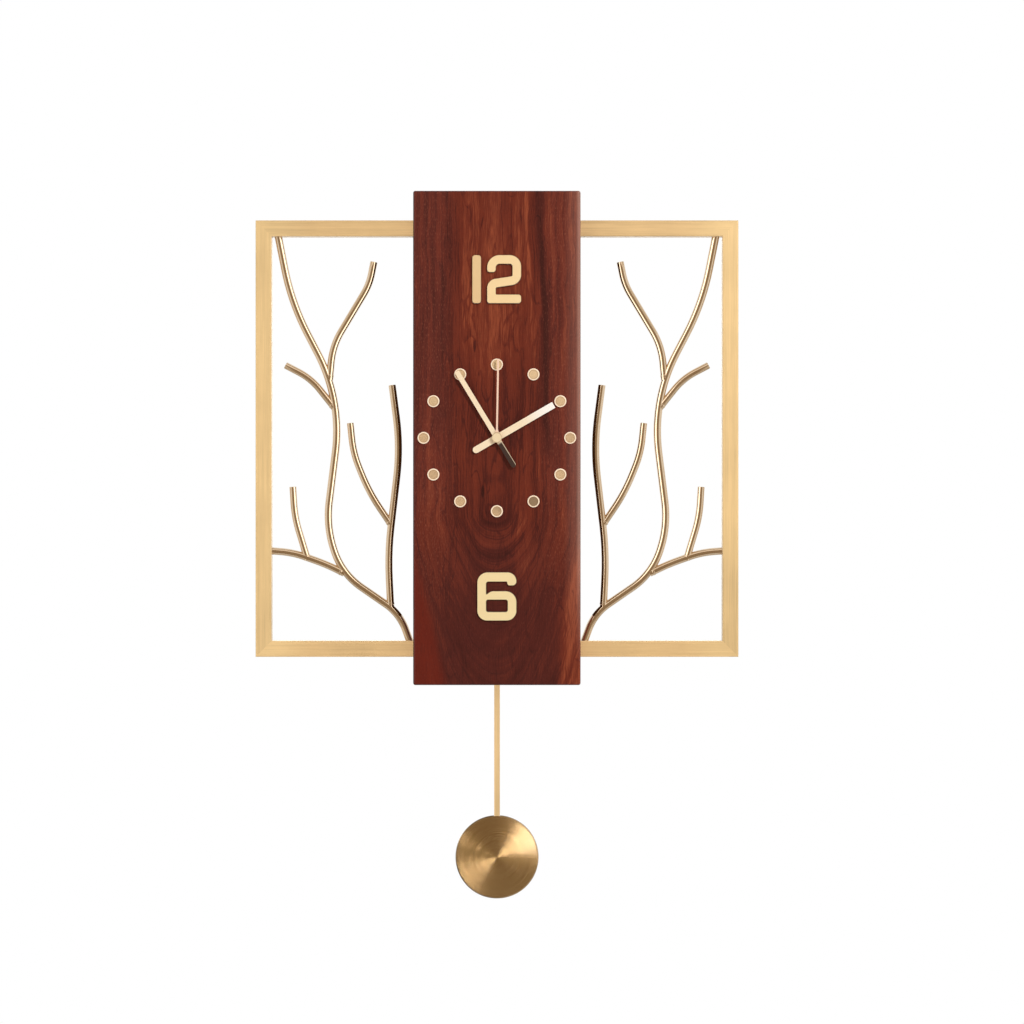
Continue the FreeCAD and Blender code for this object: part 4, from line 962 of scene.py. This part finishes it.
class CLOCK_OT_finish_fixings(bpy.types.Operator):
    """Finish the hanger, screws, plugs, pads and springs"""

    bl_idname = "clock.finish_fixings"
    bl_label = "Finish fixings"

    def execute(self, context):
        dress(satin_metal("zinc_steel", screen_colour(206, 207, 210), 0.30),
              "battery_contacts", "keyhole_plate", "plate_screws", "rail_screws",
              "motor_stator", "bob_clip")
        dress(matt_plastic("plug_black", screen_colour(52, 50, 48)), "rail_plugs")
        dress(matt_plastic("felt_brown", screen_colour(92, 84, 76), 0.9, 1.2), "wall_pads")
        return {"FINISHED"}


class CLOCK_OT_set_stage(bpy.types.Operator):
    """Lay the floor, hang the lamps and set up the camera"""

    bl_idname = "clock.set_stage"
    bl_label = "Set stage"

    def execute(self, context):
        look = context.scene.clock_studio
        self.lay_floor(context, look)
        for name, place, turn, span in (
                ("card_behind_camera", (0.0, -3.0, -0.60), UPRIGHT, (6.6, 4.8)),
                ("card_below", (0.0, -1.95, 0.05 - look.floor_drop), FLAT, (6.6, 2.1)),
                ("card_above", (0.0, -1.60, 1.80), FLAT, (6.6, 2.8))):
            self.hang_card(context, name, place, turn, span, look.card_tone, look.card_edge)
        for side, way in sides.items():
            self.hang_card(context, f"{side}_flag", (way * -0.0855, 0.005, -0.160), SIDEWAYS,
                           (0.37, 0.056), look.flag_tone, look.flag_tone)
        self.light_room(context, look)
        self.hang_lamps(context)
        self.place_camera(context, look)
        context.scene.view_settings.view_transform = "Standard"
        return {"FINISHED"}

    def hang_lamps(self, context):
        """Hangs every lamp. Those with no pieces of their own light all but rods and bob."""
        middle = Vector((0.0, 0.0, (board_low.z + board_high.z) / 2))
        disc = Vector(bob_centre)
        bob = [nodes["pendulum_bob"]]
        left, right = ([item for item in context.collection.objects
                        if item.name.startswith(side) and item.name.endswith("_rod")]
                       for side in sides)
        for name, place, target, span, watts, own_pieces in (
                ("key_lamp", (2.60, -4.60, 2.20), middle, (0.60, 0.60), 200.0, None),
                ("fill_lamp", (-1.5, -2.3, -0.35), middle, (1.4, 2.0), 11.5, None),
                ("back_lamp", (0.0, 2.2, 0.4), middle, (1.5, 1.5), 10.0, None),
                ("left_rod_lamp", (1.35, -1.00, -0.15), middle, (1.9, 2.4), 24.0, left),
                ("right_rod_lamp", (-1.35, -1.00, -0.15), middle, (1.9, 2.4), 24.0, right),
                ("rod_top_lamp", (0.0, -1.05, 1.05), middle, (2.6, 1.0), 6.0, left + right),
                ("bob_lamp", (0.71, -1.30, -0.34), disc, (0.5, 0.75), 17.0, bob),
                ("bob_side_lamp", (-1.10, -0.27, -0.20), disc, (0.3, 0.42), 5.5, bob)):
            lamp = self.hang_lamp(context, name, place, target, span, watts)
            if own_pieces is None:
                self.link("receiver", lamp, left + right + bob, "EXCLUDE")
                self.link("blocker", lamp, [nodes["wood_panel"]], "EXCLUDE")
            else:
                self.link("receiver", lamp, own_pieces, "INCLUDE")
        bpy.data.objects["bob_lamp"].rotation_euler.rotate_axis("Z", math.radians(21))

    def lay_floor(self, context, look):
        start_clean()
        bpy.ops.mesh.primitive_plane_add(size=look.floor_span,
                                         location=(0.0, 0.0, -look.floor_drop))
        floor = context.object
        floor.name = "floor"
        paint = Finish("floor_paint")
        seen = paint.node("ShaderNodeLightPath", out="Is Camera Ray")
        lift = paint.mix(seen, screen_colour(0, 0, 0), screen_colour(170, 170, 168))
        floor.data.materials.append(paint.shine(Base_Color=look.floor_tone, Roughness=0.9,
                                                Emission_Color=lift, Emission_Strength=1.0))

    def hang_card(self, context, name, place, turn, span, tone, edge):
        """A dark card, paler towards its sides, seen only in polished metal."""
        start_clean()
        bpy.ops.mesh.primitive_plane_add(size=1.0, location=place, rotation=turn)
        card = context.object
        card.name = name
        card.scale = span + (1.0,)
        bpy.ops.object.transform_apply(location=False, rotation=False, scale=True)
        for way in ("camera", "diffuse", "shadow", "transmission", "volume_scatter"):
            setattr(card, f"visible_{way}", False)
        paint = Finish(name + "_paint")
        across, _depth, _height = paint.place()
        glow = paint.mix(paint.fade(abs(across), 1100, 3200), tone, edge)
        card.data.materials.append(
            paint.shine(Base_Color=screen_colour(0, 0, 0), Roughness=1.0, Emission_Color=glow,
                        Emission_Strength=1.0, Specular_IOR_Level=0.0))

    def light_room(self, context, look):
        """Even light from all round, full white where it is looked at or mirrored."""
        world = bpy.data.worlds.new("studio_room")
        context.scene.world = world
        room = Wiring(world)
        rays = room.node("ShaderNodeLightPath",
                         out=("Is Camera Ray", "Is Glossy Ray", "Is Transmission Ray"))
        shown = room.larger(room.larger(*rays[:2]), rays[2])
        glow = room.node("ShaderNodeBackground", None,
                         {"Color": (1.0, 1.0, 1.0, 1.0),
                          "Strength": room.stretch(shown, 0.0, 1.0, look.room_light, 1.0)})
        room.node("ShaderNodeOutputWorld", None, {"Surface": glow}, out=None)

    def hang_lamp(self, context, name, place, target, span, watts):
        start_clean()
        bpy.ops.object.light_add(type="AREA", location=place)
        lamp = context.object
        lamp.name = name
        lamp.rotation_euler = (target - Vector(place)).to_track_quat("-Z", "Y").to_euler()
        lamp.data.shape = "RECTANGLE"
        lamp.data.size, lamp.data.size_y = span
        lamp.data.energy = watts
        return lamp

    def link(self, part, lamp, pieces, state):
        """Names the pieces that a lamp's light falls on, or that throw its shadow."""
        group = bpy.data.collections.new(f"{lamp.name}_{part}")
        setattr(lamp.light_linking, part + "_collection", group)
        for piece in pieces:
            group.objects.link(piece)
        for entry in group.collection_objects:
            entry.light_linking.link_state = state

    def place_camera(self, context, look):
        start_clean()
        bpy.ops.object.camera_add(rotation=UPRIGHT, location=(
            look.camera_aside, -look.camera_distance, dial_height - look.camera_drop))
        camera = context.object
        camera.name = "front_camera"
        camera.data.sensor_width = SENSOR_MM
        camera.data.lens = SENSOR_MM * FOCAL_PIXELS / PICTURE_PIXELS
        camera.data.clip_start = 0.05
        camera.data.clip_end = 50.0
        context.scene.camera = camera


class CLOCK_PT_panel(bpy.types.Panel):
    """Sizes, colours and steps of the clock"""

    bl_idname = "CLOCK_PT_panel"
    bl_label = "Clock"
    bl_space_type = "VIEW_3D"
    bl_region_type = "UI"
    bl_category = "Clock"

    def draw(self, context):
        for step in steps:
            self.layout.operator(step.bl_idname)
        for group in groups:
            values = getattr(context.scene, groups[group])
            box = self.layout.box()
            box.label(text=group.__doc__)
            for name in group.__annotations__:
                box.prop(values, name)


groups = {BoardLook: "clock_board", MetalLook: "clock_metal", RodSizes: "clock_rods",
          StudSizes: "clock_studs", StudioLook: "clock_studio"}
steps = (CLOCK_OT_finish_board, CLOCK_OT_finish_frame, CLOCK_OT_finish_rods,
         CLOCK_OT_weld_rods, CLOCK_OT_make_studs, CLOCK_OT_finish_dial,
         CLOCK_OT_finish_pendulum, CLOCK_OT_finish_movement,
         CLOCK_OT_finish_fixings, CLOCK_OT_set_stage)


def register():
    for group, name in groups.items():
        bpy.utils.register_class(group)
        setattr(bpy.types.Scene, name, PointerProperty(type=group))
    for step in steps:
        bpy.utils.register_class(step)
    bpy.utils.register_class(CLOCK_PT_panel)


def unregister():
    bpy.utils.unregister_class(CLOCK_PT_panel)
    for step in reversed(steps):
        bpy.utils.unregister_class(step)
    for group, name in groups.items():
        delattr(bpy.types.Scene, name)
        bpy.utils.unregister_class(group)


def main():
    register()
    bpy.ops.clock.finish_board()
    bpy.ops.clock.finish_frame()
    bpy.ops.clock.finish_rods()
    bpy.ops.clock.weld_rods()
    bpy.ops.clock.make_studs()
    bpy.ops.clock.finish_dial()
    bpy.ops.clock.finish_pendulum()
    bpy.ops.clock.finish_movement()
    bpy.ops.clock.finish_fixings()
    bpy.ops.clock.set_stage()


if __name__ == "__main__":
    main()
